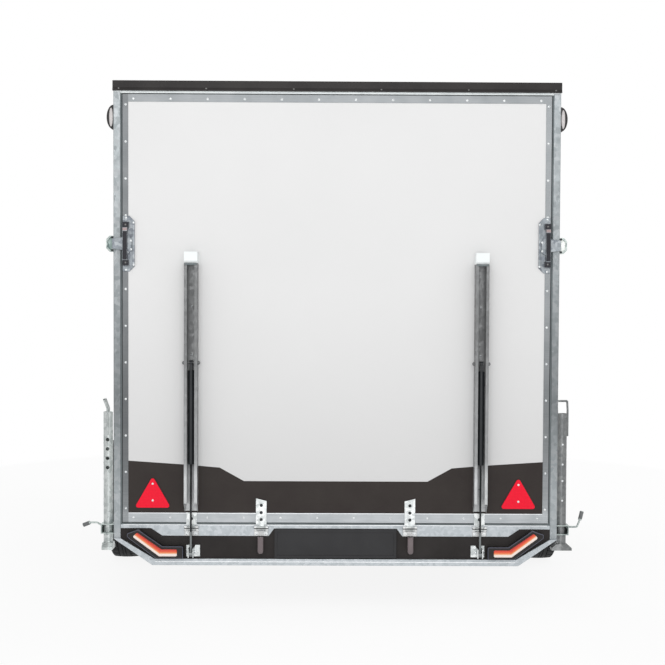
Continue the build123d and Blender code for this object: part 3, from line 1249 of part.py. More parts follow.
with BuildPart() as ramp_latches:
    half_height = LATCH_HEIGHT / 2
    with BuildSketch(Plane.XZ.offset(-ahead(-RAMP_FRAME_PROUD))):
        with BuildLine():
            Polyline(
                (latch_outer, LATCH_CENTRE - half_height),
                (latch_outer, LATCH_CENTRE + half_height),
                (latch_inner + LATCH_CHAMFER, LATCH_CENTRE + half_height),
                (latch_inner, LATCH_CENTRE + half_height - LATCH_CHAMFER),
                (latch_inner, LATCH_CENTRE - half_height + LATCH_CHAMFER),
                (latch_inner + LATCH_CHAMFER, LATCH_CENTRE - half_height),
                close=True,
            )
        make_face()
    extrude(amount=LATCH_PLATE)
    strip_half = half_height - LATCH_CHAMFER
    box_between(
        (latch_inner, latch_inner + LATCH_STRIP_WIDTH),
        (latch_face - LATCH_STRIP_PROUD, latch_face),
        (LATCH_CENTRE - strip_half, LATCH_CENTRE + strip_half),
    )
    for way in (-1, 1):
        block_z = LATCH_CENTRE + way * LATCH_BLOCK_OFFSET
        box_between(
            (latch_outer - LATCH_BLOCK_WIDTH, latch_outer),
            (latch_face - LATCH_BLOCK_DEPTH, latch_face),
            (block_z - LATCH_BLOCK_HEIGHT / 2, block_z + LATCH_BLOCK_HEIGHT / 2),
        )
    lever_half = LATCH_BLOCK_OFFSET - LATCH_BLOCK_HEIGHT / 2
    box_between(
        (latch_outer - LATCH_LEVER_WIDTH, latch_outer),
        (latch_face - LATCH_LEVER_LIFT - LATCH_LEVER_DEPTH, latch_face - LATCH_LEVER_LIFT),
        (LATCH_CENTRE - lever_half, LATCH_CENTRE + lever_half),
    )
    cam_outer = latch_outer - LATCH_LEVER_WIDTH
    with BuildSketch(Plane.XZ.offset(-ahead(latch_face))):
        with BuildLine():
            Polyline(
                (cam_outer + 2, LATCH_CENTRE - LATCH_CAM_HEIGHT / 2),
                (cam_outer + 2, LATCH_CENTRE + LATCH_CAM_HEIGHT / 2),
                (cam_outer - LATCH_CAM_WIDTH / 4, LATCH_CENTRE + LATCH_CAM_HEIGHT / 2),
                (cam_outer - LATCH_CAM_WIDTH, LATCH_CENTRE + LATCH_CAM_HEIGHT / 6),
                (cam_outer - LATCH_CAM_WIDTH, LATCH_CENTRE - LATCH_CAM_HEIGHT / 3),
                close=True,
            )
        make_face()
    extrude(amount=2 * LATCH_LEVER_LIFT)
    arm_tip = POST_OUTER + LATCH_ARM_PAST_POST
    with BuildSketch(Plane.XZ.offset(-ahead(latch_face - LATCH_LEVER_LIFT - 1))):
        with BuildLine():
            Polyline(
                (latch_outer - LATCH_LEVER_WIDTH / 2, LATCH_CENTRE - LATCH_ARM_ROOT_HEIGHT / 2),
                (arm_tip, LATCH_CENTRE - LATCH_ARM_TIP_HEIGHT / 2),
                (arm_tip, LATCH_CENTRE + LATCH_ARM_TIP_HEIGHT / 2),
                (latch_outer - LATCH_LEVER_WIDTH / 2, LATCH_CENTRE + LATCH_ARM_ROOT_HEIGHT / 2),
                close=True,
            )
        make_face()
    extrude(amount=LATCH_ARM_DEPTH)
    mirror(about=Plane.YZ)
save(ramp_latches.part, "ramp_latches")

REFLECTOR_HALF = 857
REFLECTOR_SIDE = 170
REFLECTOR_BASE = 469
REFLECTOR_CORNER = 10
REFLECTOR_DEPTH = 7
with BuildPart() as ramp_reflectors:
    with BuildSketch(Plane.XZ.offset(-ahead(0))) as sketch:
        with Locations((-REFLECTOR_HALF, REFLECTOR_BASE), (REFLECTOR_HALF, REFLECTOR_BASE)):
            Triangle(a=REFLECTOR_SIDE, b=REFLECTOR_SIDE, c=REFLECTOR_SIDE, align=(Align.CENTER, Align.MIN))
        fillet(sketch.vertices(), REFLECTOR_CORNER)
    extrude(amount=REFLECTOR_DEPTH)
save(ramp_reflectors.part, "ramp_reflectors")

# ---------------------------------------------------------------- gas springs
STRUT_HEAD_RADIUS = 12
STRUT_HEAD_WIDTH = 14
STRUT_NECK_DEPTH = 20
CYLINDER_END_WALL = 15
strut_top = Vector(0, ahead(-STRUT_TOP_BEHIND), STRUT_TOP_HEIGHT)
strut_eye = Vector(0, ahead(-STRUT_EYE_BEHIND), STRUT_EYE_HEIGHT)
strut_run = strut_eye - strut_top
strut_length = strut_run.length


def strut_cylinder(x):
    """A gas spring's cylinder, bored for the rod, with a flat head on the channel's bolt."""
    top = strut_top + Vector(x, 0, 0)
    down = Plane(origin=top, x_dir=(1, 0, 0), z_dir=strut_run)
    head = Plane(origin=top - Vector(STRUT_HEAD_WIDTH / 2, 0, 0), z_dir=(1, 0, 0))
    upright = (Align.CENTER, Align.CENTER, Align.MIN)
    with BuildPart() as body:
        with Locations(down.offset(CYLINDER_END_BELOW_PIN)):
            Cylinder(CYLINDER_RADIUS, CYLINDER_LENGTH, align=upright)
        with Locations(down):
            Box(STRUT_HEAD_WIDTH, STRUT_NECK_DEPTH, CYLINDER_END_BELOW_PIN + 2, align=upright)
        with Locations(head):
            Cylinder(STRUT_HEAD_RADIUS, STRUT_HEAD_WIDTH, align=upright)
            Cylinder(
                STRUT_PIN_RADIUS + SLIDING_CLEARANCE, STRUT_HEAD_WIDTH, align=upright, mode=Mode.SUBTRACT
            )
        with Locations(down.offset(CYLINDER_END_BELOW_PIN + CYLINDER_END_WALL)):
            Cylinder(ROD_RADIUS + SLIDING_CLEARANCE, CYLINDER_LENGTH, align=upright, mode=Mode.SUBTRACT)
    return body.part


def strut_rod(x):
    """A gas spring's rod, from inside the cylinder down to the eye on its end fitting."""
    eye = strut_eye + Vector(x, 0, 0)
    up = Plane(origin=eye, x_dir=(1, 0, 0), z_dir=-strut_run)
    across = Plane(origin=eye - Vector(STRUT_EYE_WIDTH / 2, 0, 0), z_dir=(1, 0, 0))
    rod_length = strut_length - CYLINDER_END_BELOW_PIN - CYLINDER_LENGTH + ROD_INSERTED
    upright = (Align.CENTER, Align.CENTER, Align.MIN)
    with BuildPart() as body:
        with Locations(up):
            Cylinder(ROD_RADIUS, rod_length, align=upright)
            Cylinder(ROD_END_RADIUS, ROD_END_LENGTH, align=upright)
        with Locations(across):
            Cylinder(STRUT_EYE_RADIUS, STRUT_EYE_WIDTH, align=upright)
    return body.part


for name, side in SIDES.items():
    save(strut_cylinder(side * CHANNEL_HALF), f"strut_cylinder_{name}")
    save(strut_rod(side * CHANNEL_HALF), f"strut_rod_{name}")
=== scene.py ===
"""Finishes and fine pieces of the closed box trailer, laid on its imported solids.

Metres: +Y forward to the coupling, +X right, +Z up. The outer face of the closed ramp is called the
rear face, and everything is placed from the boxes of the solids.
"""
import bmesh
import bpy
import math
from mathutils import Matrix, Vector
from mathutils.bvhtree import BVHTree


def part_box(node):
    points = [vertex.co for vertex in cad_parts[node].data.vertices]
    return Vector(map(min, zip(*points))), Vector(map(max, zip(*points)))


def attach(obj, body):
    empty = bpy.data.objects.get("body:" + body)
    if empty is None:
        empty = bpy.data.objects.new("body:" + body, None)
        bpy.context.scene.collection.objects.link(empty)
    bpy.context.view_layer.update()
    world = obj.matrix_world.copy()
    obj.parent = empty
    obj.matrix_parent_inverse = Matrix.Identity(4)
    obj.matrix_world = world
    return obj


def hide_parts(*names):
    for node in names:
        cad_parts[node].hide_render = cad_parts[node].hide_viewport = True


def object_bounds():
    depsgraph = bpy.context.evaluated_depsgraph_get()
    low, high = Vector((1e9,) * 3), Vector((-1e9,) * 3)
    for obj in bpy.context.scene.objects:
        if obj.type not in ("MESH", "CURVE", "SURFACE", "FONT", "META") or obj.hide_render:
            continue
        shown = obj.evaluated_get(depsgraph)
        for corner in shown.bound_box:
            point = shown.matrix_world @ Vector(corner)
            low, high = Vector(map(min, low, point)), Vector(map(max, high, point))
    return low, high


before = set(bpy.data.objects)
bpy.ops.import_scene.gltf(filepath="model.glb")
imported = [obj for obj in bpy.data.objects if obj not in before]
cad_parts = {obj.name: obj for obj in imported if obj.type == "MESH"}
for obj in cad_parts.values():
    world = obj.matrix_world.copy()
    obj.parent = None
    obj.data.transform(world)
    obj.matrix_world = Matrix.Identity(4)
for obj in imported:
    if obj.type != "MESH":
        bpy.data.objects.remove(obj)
cad_low, cad_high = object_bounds()
MM = 0.001
SIDES = {"left": -1, "right": 1}
REARWARD = (0, -1, 0)

# ---------------------------------------------------------------- finishes: the tools
# A source is a (node, output) pair, and a finish is built up from them.
EDGE_SAMPLES = 4


def linear(colour):
    """An sRGB hex colour as the linear one that the shaders take."""
    parts = [int(colour[i:i + 2], 16) / 255 for i in (1, 3, 5)]
    return (*[c / 12.92 if c <= 0.04045 else ((c + 0.055) / 1.055) ** 2.4 for c in parts], 1)


def link(tree, source, target, socket):
    """Links a source to an input of another node."""
    tree.links.new(source[0].outputs[source[1]], target.inputs[socket])


def node(tree, kind, inputs=None, stops=(), **settings):
    """Adds a node with its own settings, its inputs, which are values or sources, and its colour stops.

    The stops are a colour ramp's (position, hex colour) pairs.
    """
    new = tree.nodes.new(kind)
    for name, value in settings.items():
        setattr(new, name, value)
    for socket, value in (inputs or {}).items():
        if isinstance(value, tuple) and isinstance(value[0], bpy.types.Node):
            link(tree, value, new, socket)
        else:
            new.inputs[socket].default_value = value
    if stops:
        elements = new.color_ramp.elements
        while len(elements) < len(stops):
            elements.new(0.5)
        for element, (position, colour) in zip(elements, stops):
            element.position = position
            element.color = linear(colour)
    return new


def span(low, high, to_low=0, to_high=1):
    """The ends of a Map Range node, from one range of values to another."""
    return {"From Min": low, "From Max": high, "To Min": to_low, "To Max": to_high}


def finish(name, inputs):
    """A material with one Principled shader, its tree and the coordinates that patterns lie on."""
    material = bpy.data.materials.new(name)
    material.use_nodes = True
    tree = material.node_tree
    tree.nodes.clear()
    shader = node(tree, "ShaderNodeBsdfPrincipled", inputs)
    node(tree, "ShaderNodeOutputMaterial", {"Surface": (shader, "BSDF")})
    place = node(tree, "ShaderNodeTexCoord")
    return material, tree, shader, place


def speckle(tree, place, size, detail, stretch=(1, 1, 1)):
    """Noise in patches of about this many millimetres, drawn out along an axis where asked."""
    stretched = node(tree, "ShaderNodeMapping", {"Vector": (place, "Object"), "Scale": stretch})
    sizes = {"Vector": (stretched, "Vector"), "Scale": 1 / (size * MM), "Detail": detail}
    return node(tree, "ShaderNodeTexNoise", sizes), "Fac"


def mottled(tree, place, size, low, high, detail=3.0):
    """Patches of two near colours, about this many millimetres across: the noise and its colour."""
    cloud = speckle(tree, place, size, detail)
    tone = node(tree, "ShaderNodeValToRGB", {"Fac": cloud}, ((0.3, low), (0.7, high)))
    return cloud, (tone, "Color")


def mean(tree, first, second):
    """Half way between two sources."""
    both = node(tree, "ShaderNodeMath", {0: first, 1: second}, operation="ADD")
    return node(tree, "ShaderNodeMath", {0: (both, "Value"), 1: 0.5}, operation="MULTIPLY"), "Value"


def waves(tree, parts, axis, spacing):
    """Even waves along an object axis, this many millimetres apart."""
    pace = {0: (parts, axis), 1: 2 * math.pi / (spacing * MM)}
    angle = node(tree, "ShaderNodeMath", pace, operation="MULTIPLY")
    return node(tree, "ShaderNodeMath", {0: (angle, "Value")}, operation="SINE"), "Value"


def painted_light_along(tree, place, colour, axis, painted_greys):
    """A colour multiplied by painted light and shade: greys that change along an object axis, given as
    (metres, grey).
    """
    first, last = painted_greys[0][0], painted_greys[-1][0]
    parts = node(tree, "ShaderNodeSeparateXYZ", {"Vector": (place, "Object")})
    ends = {"Value": (parts, axis), **span(first, last)}
    share = node(tree, "ShaderNodeMapRange", ends, clamp=True)
    stops = [((at - first) / (last - first), grey) for at, grey in painted_greys]
    greys = node(tree, "ShaderNodeValToRGB", {"Fac": (share, "Result")}, stops)
    shares = {"Factor": 1.0, "A": colour, "B": (greys, "Color")}
    return node(tree, "ShaderNodeMix", shares, data_type="RGBA", blend_type="MULTIPLY"), "Result"


def uneven_gloss(tree, shader, source, low, high, smooth, rough):
    """Roughness that follows a source: smooth at its low end and rough at its high end."""
    ends = {"Value": source, **span(low, high, smooth, rough)}
    level = node(tree, "ShaderNodeMapRange", ends, clamp=True)
    link(tree, (level, "Result"), shader, "Roughness")


def relief(tree, shader, source, depth, strength, edge=0):
    """Bump from a source, this many millimetres deep, over edges rounded by so many millimetres.

    Rounded edges catch the light as worn ones do.
    """
    sizes = {"Height": source, "Distance": depth * MM, "Strength": strength}
    bump = node(tree, "ShaderNodeBump", sizes)
    if edge:
        rounded = node(tree, "ShaderNodeBevel", {"Radius": edge * MM}, samples=EDGE_SAMPLES)
        link(tree, (rounded, "Normal"), bump, "Normal")
    link(tree, (bump, "Normal"), shader, "Normal")


# ---------------------------------------------------------------- finishes: the materials
# Painted reflection and shade: upright zinc and aluminium are painted darker at half height than at the top
# and foot, standing in for a darker band that they would mirror. Each tone is (metres up, grey).
UPRIGHT_PAINTED_REFLECTION = (
    (0.3, "#D8D8D8"), (0.55, "#D2D2D2"), (0.7, "#BCBCBC"), (0.95, "#9C9C9C"), (1.3, "#B2B2B2"),
    (1.9, "#CCCCCC"), (2.35, "#D6D6D6"),
)
# The channel is painted palest at its foot and darker higher up, as painted light and shade.
CHANNEL_PAINTED_SHADE = (
    (0.45, "#EBEBEB"), (0.61, "#F0F0F0"), (0.7, "#B4B4B4"), (1.0, "#AAAAAA"), (1.25, "#8E8E8E"),
    (1.65, "#949494"),
)
FRAME_PAINTED_SHADE = (
    (0.4, "#FAFAFA"), (0.44, "#FAFAFA"), (0.47, "#D8D8D8"), (0.7, "#B2B2B2"), (0.95, "#A3A3A3"),
    (1.4, "#C2C2C2"), (1.9, "#CACACA"), (2.3, "#D2D2D2"), (2.36, "#C8C8C8"),
)


def hot_dip_galvanised(name, low, high, tint, roughness=0.46, painted_greys=(), axis="Z"):
    """Hot-dip galvanised steel: a grey skin of zinc crystals that take the light in patches."""
    material, tree, shader, place = finish(name, {"Metallic": 0.7})
    # Zinc crystals are about 10 mm across, and are drawn 16 mm so that they show.
    crystals = {"Vector": (place, "Object"), "Scale": 1 / (16 * MM)}
    spangle = node(tree, "ShaderNodeTexVoronoi", crystals)
    cloud = speckle(tree, place, 70, 4.0)
    grain = node(tree, "ShaderNodeSeparateColor", {"Color": (spangle, "Color")})
    shade = mean(tree, (grain, "Red"), cloud)
    stops = ((0.35, low), (0.5, tint), (0.68, high))
    skin = (node(tree, "ShaderNodeValToRGB", {"Fac": shade}, stops), "Color")
    # Painted light and shade along an axis, where greys are given.
    if painted_greys:
        skin = painted_light_along(tree, place, skin, axis, painted_greys)
    link(tree, skin, shader, "Base Color")
    uneven_gloss(tree, shader, (grain, "Green"), 0, 1, roughness - 0.1, roughness + 0.12)
    relief(tree, shader, cloud, 0.4, 0.3, edge=2.5)
    return material


def drawn_aluminium(name, low, high, along, painted_greys=(), painted_shade_edge=None):
    """Mill-finish aluminium section: a soft sheen with fine draw lines along its length.

    Where an edge is given, the upright to the left of it is painted darker: a painted reflection of a darker
    side.
    """
    material, tree, shader, place = finish(name, {"Metallic": 0.6})
    stretches = {"x": (0.02, 1, 1), "y": (1, 0.02, 1)}
    # Draw lines are finer than 1 mm, and are drawn 3 mm apart so that they show.
    lines = speckle(tree, place, 3, 2.0, stretches[along])
    shade = mean(tree, lines, speckle(tree, place, 90, 3.0))
    skin = (node(tree, "ShaderNodeValToRGB", {"Fac": shade}, ((0.4, low), (0.6, high))), "Color")
    # Painted light and shade up the section, where greys are given.
    if painted_greys:
        skin = painted_light_along(tree, place, skin, "Z", painted_greys)
    if painted_shade_edge:
        painted_shade_greys = ((painted_shade_edge - 0.5 * MM, "#D0D0D0"), (painted_shade_edge + 0.5 * MM, "#FFFFFF"))
        skin = painted_light_along(tree, place, skin, "X", painted_shade_greys)
    link(tree, skin, shader, "Base Color")
    uneven_gloss(tree, shader, lines, 0.3, 0.7, 0.34, 0.48)
    relief(tree, shader, lines, 0.15, 0.3, edge=2)
    return material


# Metres above the ground.
GREY_FULL_BELOW, GREY_GONE_ABOVE = 0.5, 1.5


def coated_panel(name, low, high, lower_grey):
    """Glass-fibre faced ply with a white gel coat: smooth and pale, and greyer towards the ground."""
    sheen = {"Roughness": 0.38, "Coat Weight": 0.1, "Coat Roughness": 0.2, "IOR": 1.5}
    material, tree, shader, place = finish(name, sheen)
    white = mottled(tree, place, 600, low, high)[1]
    parts = node(tree, "ShaderNodeSeparateXYZ", {"Vector": (place, "Object")})
    ends = {"Value": (parts, "Z"), **span(GREY_FULL_BELOW, GREY_GONE_ABOVE, 1, 0)}
    low_down = node(tree, "ShaderNodeMapRange", ends, clamp=True)
    shares = {"Factor": (low_down, "Result"), "A": white, "B": linear(lower_grey)}
    greyed = node(tree, "ShaderNodeMix", shares, data_type="RGBA")
    link(tree, (greyed, "Result"), shader, "Base Color")
    relief(tree, shader, speckle(tree, place, 9, 2.0), 0.12, 0.25)
    return material


def moulded_plastic(name, low, high, roughness, grain, gloss=0.3, edges=None):
    """Moulded plastic or painted steel in one colour: a fine even grain and slightly uneven gloss.

    Where an edge colour is given, the sloping rim round the face is painted in it: a painted highlight for
    the light that the rim catches.
    """
    material, tree, shader, place = finish(name, {"IOR": 1.5, "Specular IOR Level": gloss})
    skin = mottled(tree, place, 120, low, high)[1]
    # The sloping rim's painted highlight.
    if edges:
        parts = node(tree, "ShaderNodeSeparateXYZ", {"Vector": (place, "Normal")})
        slope = node(tree, "ShaderNodeMath", {0: (parts, "Y"), 1: -0.7, 2: 0.2}, operation="COMPARE")
        shares = {"Factor": (slope, "Value"), "A": skin, "B": linear(edges)}
        skin = (node(tree, "ShaderNodeMix", shares, data_type="RGBA"), "Result")
    link(tree, skin, shader, "Base Color")
    texture = speckle(tree, place, grain, 2.0)
    uneven_gloss(tree, shader, texture, 0.3, 0.7, roughness - 0.06, roughness + 0.08)
    relief(tree, shader, texture, 0.25, 0.3, edge=1.2)
    return material


def bright_metal(name, low, high, roughness=0.32):
    """Zinc-plated or silver-lacquered steel: bright, even and slightly cloudy."""
    material, tree, shader, place = finish(name, {"Metallic": 0.7})
    cloud, skin = mottled(tree, place, 25, low, high)
    link(tree, skin, shader, "Base Color")
    uneven_gloss(tree, shader, cloud, 0.3, 0.7, roughness - 0.08, roughness + 0.1)
    relief(tree, shader, cloud, 0.1, 0.3, edge=0.8)
    return material


def prism_plastic(name, colour, deep, cell, glow=0.0):
    """Clear moulded acrylic over prisms: a wet gloss outside and a honeycomb of small corners inside."""
    sheen = {"Roughness": 0.2, "IOR": 1.49, "Specular IOR Level": 0.25, "Coat Weight": 0.05}
    material, tree, shader, place = finish(name, {**sheen, "Emission Strength": glow})
    # Prisms are about 3 mm across, and are drawn larger so that they show.
    cells = {"Vector": (place, "Object"), "Scale": 1 / (cell * MM), "Randomness": 0.15}
    comb = (node(tree, "ShaderNodeTexVoronoi", cells), "Distance")
    tone = node(tree, "ShaderNodeValToRGB", {"Fac": comb}, ((0.1, colour), (0.75, deep)))
    link(tree, (tone, "Color"), shader, "Base Color")
    # A glow, where given, is painted light: the plastic is no lamp.
    if glow:
        link(tree, (tone, "Color"), shader, "Emission Color")
    relief(tree, shader, comb, 0.5, 0.3)
    return material


def laminated_floor(name, low, high):
    """Film-faced birch ply: a dark brown resin film pressed with a wire mesh for grip."""
    material, tree, shader, place = finish(name, {"Roughness": 0.55, "IOR": 1.5})
    link(tree, mottled(tree, place, 200, low, high, 4.0)[1], shader, "Base Color")
    parts = node(tree, "ShaderNodeSeparateXYZ", {"Vector": (place, "Object")})
    # The mesh has 5 mm openings, and is drawn 12 mm so that it shows.
    wires = {i: waves(tree, parts, axis, 12) for i, axis in enumerate("XY")}
    mesh = node(tree, "ShaderNodeMath", wires, operation="MAXIMUM")
    relief(tree, shader, (mesh, "Value"), 0.6, 0.6)
    return material


def strut_rod_steel(name, fitting_top):
    """Dark nitrided rod above its fitting, and a dull zinc-plated end fitting below."""
    material, tree, shader, place = finish(name, {"Metallic": 0.8, "Roughness": 0.36})
    parts = node(tree, "ShaderNodeSeparateXYZ", {"Vector": (place, "Object")})
    above = node(tree, "ShaderNodeMath", {0: (parts, "Z"), 1: fitting_top}, operation="GREATER_THAN")
    colours = {"Factor": (above, "Value"), "A": linear("#7C8081"), "B": linear("#2A2C2E")}
    mix = node(tree, "ShaderNodeMix", colours, data_type="RGBA")
    link(tree, (mix, "Result"), shader, "Base Color")
    relief(tree, shader, speckle(tree, place, 6, 2.0), 0.05, 0.2)
    return material


def lamp_lens(name, knee, foot_middle, slope, half):
    """The rear lamp's lens: a red-orange upper band and a clear lower band along its bend, ribbed inside."""
    sheen = {"Roughness": 0.18, "IOR": 1.49, "Coat Weight": 0.5, "Coat Roughness": 0.08}
    material, tree, shader, place = finish(name, sheen)
    parts = node(tree, "ShaderNodeSeparateXYZ", {"Vector": (place, "Object")})
    outward = node(tree, "ShaderNodeMath", {0: (parts, "X")}, operation="ABSOLUTE")
    past = node(tree, "ShaderNodeMath", {0: (outward, "Value"), 1: knee}, operation="SUBTRACT")
    bend = node(tree, "ShaderNodeMath", {0: (past, "Value"), 1: 0}, operation="MAXIMUM")
    climb = {0: (bend, "Value"), 1: slope, 2: foot_middle}
    rise = node(tree, "ShaderNodeMath", climb, operation="MULTIPLY_ADD")
    height = {0: (parts, "Z"), 1: (rise, "Value")}
    above = node(tree, "ShaderNodeMath", height, operation="SUBTRACT")
    ends = {"Value": (above, "Value"), **span(-half, half)}
    share = node(tree, "ShaderNodeMapRange", ends, clamp=True)
    bands = (
        (0.0, "#F4E2DA"), (0.30, "#FBEFE8"), (0.43, "#F6B98F"), (0.52, "#F08A50"), (0.66, "#EE5F33"),
        (0.85, "#E23C1E"), (1.0, "#C92E18"),
    )
    colour = node(tree, "ShaderNodeValToRGB", {"Fac": (share, "Result")}, bands)
    link(tree, (colour, "Color"), shader, "Base Color")
    # The ribs inside the lens are 5 mm apart.
    relief(tree, shader, waves(tree, parts, "X", 5), 0.4, 0.35)
    return material


# Galvanised steel. The eye sees matt to satin grey, clouded by zinc crystals. Each piece has its
# own age, from the weathered chassis and the dull latches to new fittings that shine.
GALVANISED = hot_dip_galvanised("hot-dip galvanised steel", "#98A2A0", "#C0C9C6", "#AEB7B4")
GALVANISED_SILL = hot_dip_galvanised("galvanised sill and bumper", "#AFB5B9", "#BEC3C7", "#B6BCC0")
GALVANISED_POSTS = hot_dip_galvanised(
    "galvanised folded posts", "#B4BBBE", "#C6CBCE", "#BDC4C7", painted_greys=UPRIGHT_PAINTED_REFLECTION
)
GALVANISED_CHANNEL = hot_dip_galvanised(
    "galvanised rolled channel", "#C0C2C3", "#C8CACB", "#C4C6C7", 0.4, CHANNEL_PAINTED_SHADE
)
GALVANISED_BRIGHT = hot_dip_galvanised("new galvanised fittings", "#BEC3C3", "#E8EBEB", "#D2D6D6", 0.36)
GALVANISED_FRAME = hot_dip_galvanised("weathered galvanised chassis", "#858B8E", "#A6ACAE", "#959B9E")
LATCH_STEEL = hot_dip_galvanised("dull galvanised latch steel", "#747980", "#989DA1", "#848A8F")
# The two keeper webs are one part: the left is painted in shade and the right painted lit.
KEEPER_PAINTED_SHADE = hot_dip_galvanised("keeper web, painted shade", "#6F817F", "#98A6A3", "#84928F")
KEEPER_PAINTED_LIT = hot_dip_galvanised("keeper web, painted lit", "#D0D4D1", "#EEF0ED", "#DFE2DF")
# A near-black zinc that paints the shade inside the leg clamps and the legs.
CLAMP_SHADE = hot_dip_galvanised("painted shade in clamps and legs", "#2A2E2D", "#5C6160", "#434847")

# Painted reflection: each leg is painted in its own two shades of zinc, as a square tube that mirrors two
# sides of a room would look; the left leg is painted lit and the right one in shade.
leg_low, leg_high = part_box("leg_right")
leg_centre = (leg_low.x + leg_high.x) / 2
LEG_HALF_WIDTH = 22.5 * MM
REFLECTION_STEP = 6 * MM


def leg_painted_reflection(side, inner, outer):
    """Painted reflection greys round a leg's tube, from the side by the post to the side away from it."""
    inner_edge, outer_edge = leg_centre - LEG_HALF_WIDTH, leg_centre + LEG_HALF_WIDTH
    places = (inner_edge, leg_centre - REFLECTION_STEP, leg_centre, outer_edge)
    painted_greys = list(zip(places, (inner, inner, outer, outer)))
    return painted_greys if side > 0 else [(-x, grey) for x, grey in reversed(painted_greys)]


LEG_PAINTED_REFLECTIONS = {
    "left": hot_dip_galvanised(
        "galvanised leg, painted lit side", "#CED5D4", "#EEF3F2", "#DFE5E4",
        painted_greys=leg_painted_reflection(-1, "#FFFFFF", "#D2D2D2"), axis="X",
    ),
    "right": hot_dip_galvanised(
        "galvanised leg, painted shaded side", "#CED2D3", "#EEF1F1", "#DFE2E3",
        painted_greys=leg_painted_reflection(1, "#B0B0B0", "#8E8E8E"), axis="X",
    ),
}

# Aluminium sections. The eye sees a silky grey, streaked along each section, with a painted highlight along
# folded edges.
# The frame is painted darker at half height and on its left upright, as painted reflection.
ALUMINIUM_FRAME = drawn_aluminium(
    "mill aluminium ramp frame", "#A8ADB0", "#B8BCBF", "x", FRAME_PAINTED_SHADE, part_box("ramp_panel")[0].x
)
ALUMINIUM_EDGE = drawn_aluminium("mill aluminium edge section", "#A8AEB1", "#BFC4C6", "y")
ALUMINIUM_HEADER = drawn_aluminium("mill aluminium header", "#B8BDBE", "#C8CCCC", "x")
# A near-white strip that paints the highlight on folded edges.
PAINTED_EDGE_HIGHLIGHT = drawn_aluminium("painted highlight on folded edges", "#EEF1F4", "#F8FAFC", "x")

# Gel-coated panels. The eye sees a clean white that greys a little towards the road.
WHITE_PANEL = coated_panel("white gel-coated panel", "#E6E6E6", "#EBEBEA", "#DEDEDD")
# The ramp's copy of the gel coat is painted darker than the walls', as painted shade.
RAMP_WHITE_PAINTED_SHADE = coated_panel("white gel-coated ramp panel, painted shade", "#DDDDDD", "#E0E0E0", "#D4D4D4")

# Foil, plastics, rubber and paint. The eye sees one even colour whose gloss tells them apart:
# satin on levers and lamps, flat on the foil, the board and the mudguards, dull on rubber.
DARK_FOIL = moulded_plastic("dark brown self-coloured foil", "#2A2321", "#302A27", 0.5, 4, 0.25)
BLACK_TRIM = moulded_plastic("weathered black trim", "#1E1B1B", "#2B2827", 0.42, 3, 0.25)
BLACK_LEVER = moulded_plastic("blue-black lever sleeve", "#1F1F25", "#2A2A31", 0.42, 3, 0.25)
# The lamp body's pale rim is a painted highlight.
BLACK_LAMP = moulded_plastic("black moulded lamp body", "#1D1B1B", "#272425", 0.4, 2, 0.3, "#5A5C6A")
SMOKED_LAMP = moulded_plastic("smoked grey lamp cover", "#5E5456", "#786D6F", 0.32, 2, 0.4)
BLACK_PLATE = moulded_plastic("blank plate plastic", "#262628", "#2D2D2F", 0.5, 3)
DARK_BOARD = moulded_plastic("dark film-faced board", "#201C1B", "#2C2827", 0.55, 4, 0.25)
BLACK_GUARD = moulded_plastic("black ribbed mudguard", "#1E1F20", "#28292B", 0.55, 3)
DARK_GRIP = moulded_plastic("dark grey lever grip", "#37393B", "#434547", 0.5, 2)
GREY_GRIP = moulded_plastic("grey clamp grip", "#666869", "#747677", 0.5, 2)
RUBBER = moulded_plastic("black rubber", "#161617", "#202021", 0.7, 2)
GREY_SEAL = moulded_plastic("grey rubber seal", "#6A7274", "#788082", 0.7, 2)
TYRE_RUBBER = moulded_plastic("tyre rubber", "#1E1F20", "#2A2B2C", 0.72, 2)
BLACK_PAINT = moulded_plastic("satin black paint", "#222527", "#2C2F32", 0.34, 2)
# The channel caps' sloping tops are painted near white: a painted highlight for the light they catch from
# above.
CAP_PAINTED_HIGHLIGHT = moulded_plastic("cap painted white as a highlight", "#F0F5F5", "#F8FBFB", 0.4, 3)

# Lenses and reflectors. The eye sees wet-looking plastic with small prisms deeper inside.
CLEAR_LENS = prism_plastic("clear ribbed lens", "#E9E6E4", "#BDB8B8", 6)
# The red reflector's faint glow is painted light.
RED_REFLECTOR = prism_plastic("red retroreflector", "#FA0030", "#E00028", 7, 0.14)
AMBER_LENS = prism_plastic("amber ribbed lens", "#F28A10", "#C95F00", 6)

# Plated and lacquered steel. The eye sees small bright or dark points beside the grey zinc.
ZINC = bright_metal("zinc-plated steel", "#A7ABAD", "#C6CACB")
DULL_ZINC = bright_metal("dull zinc screw", "#6E6E6D", "#807F7E", 0.45)
BRIGHT_BOLT = bright_metal("bright zinc bolt", "#D0D4D6", "#EEF0F0", 0.3)
DARK_BOLT = bright_metal("dark phosphated bolt", "#2C2E30", "#3A3C3F", 0.4)
SILVER_WHEEL = bright_metal("silver wheel lacquer", "#A5A9AC", "#B9BDC0", 0.36)
PINK_ZINC = bright_metal("passivated zinc catch", "#857676", "#998A8A", 0.4)

# The floor and the ramp's inner face. The eye sees dark brown film with a gripping mesh.
FLOOR_FILM = laminated_floor("brown film-faced ply floor", "#33241B", "#46342A")

# Painted highlights on the knuckle's two rims, with painted shade in the dark of the roll between them:
# (millimetres up, grey).
HINGE_PAINTED_HIGHLIGHTS = (
    (0, "#C4C4C4"), (23, "#C4C4C4"), (25, "#FFFFFF"), (33, "#FFFFFF"), (35, "#6A6A6A"), (40, "#6A6A6A"),
    (42, "#FFFFFF"), (48, "#FFFFFF"),
)
leaf_low, leaf_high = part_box("hinge_lower_leaves")
HINGE_PAINTED_HIGHLIGHT_TONES = [(leaf_low.z + at * MM, grey) for at, grey in HINGE_PAINTED_HIGHLIGHTS]
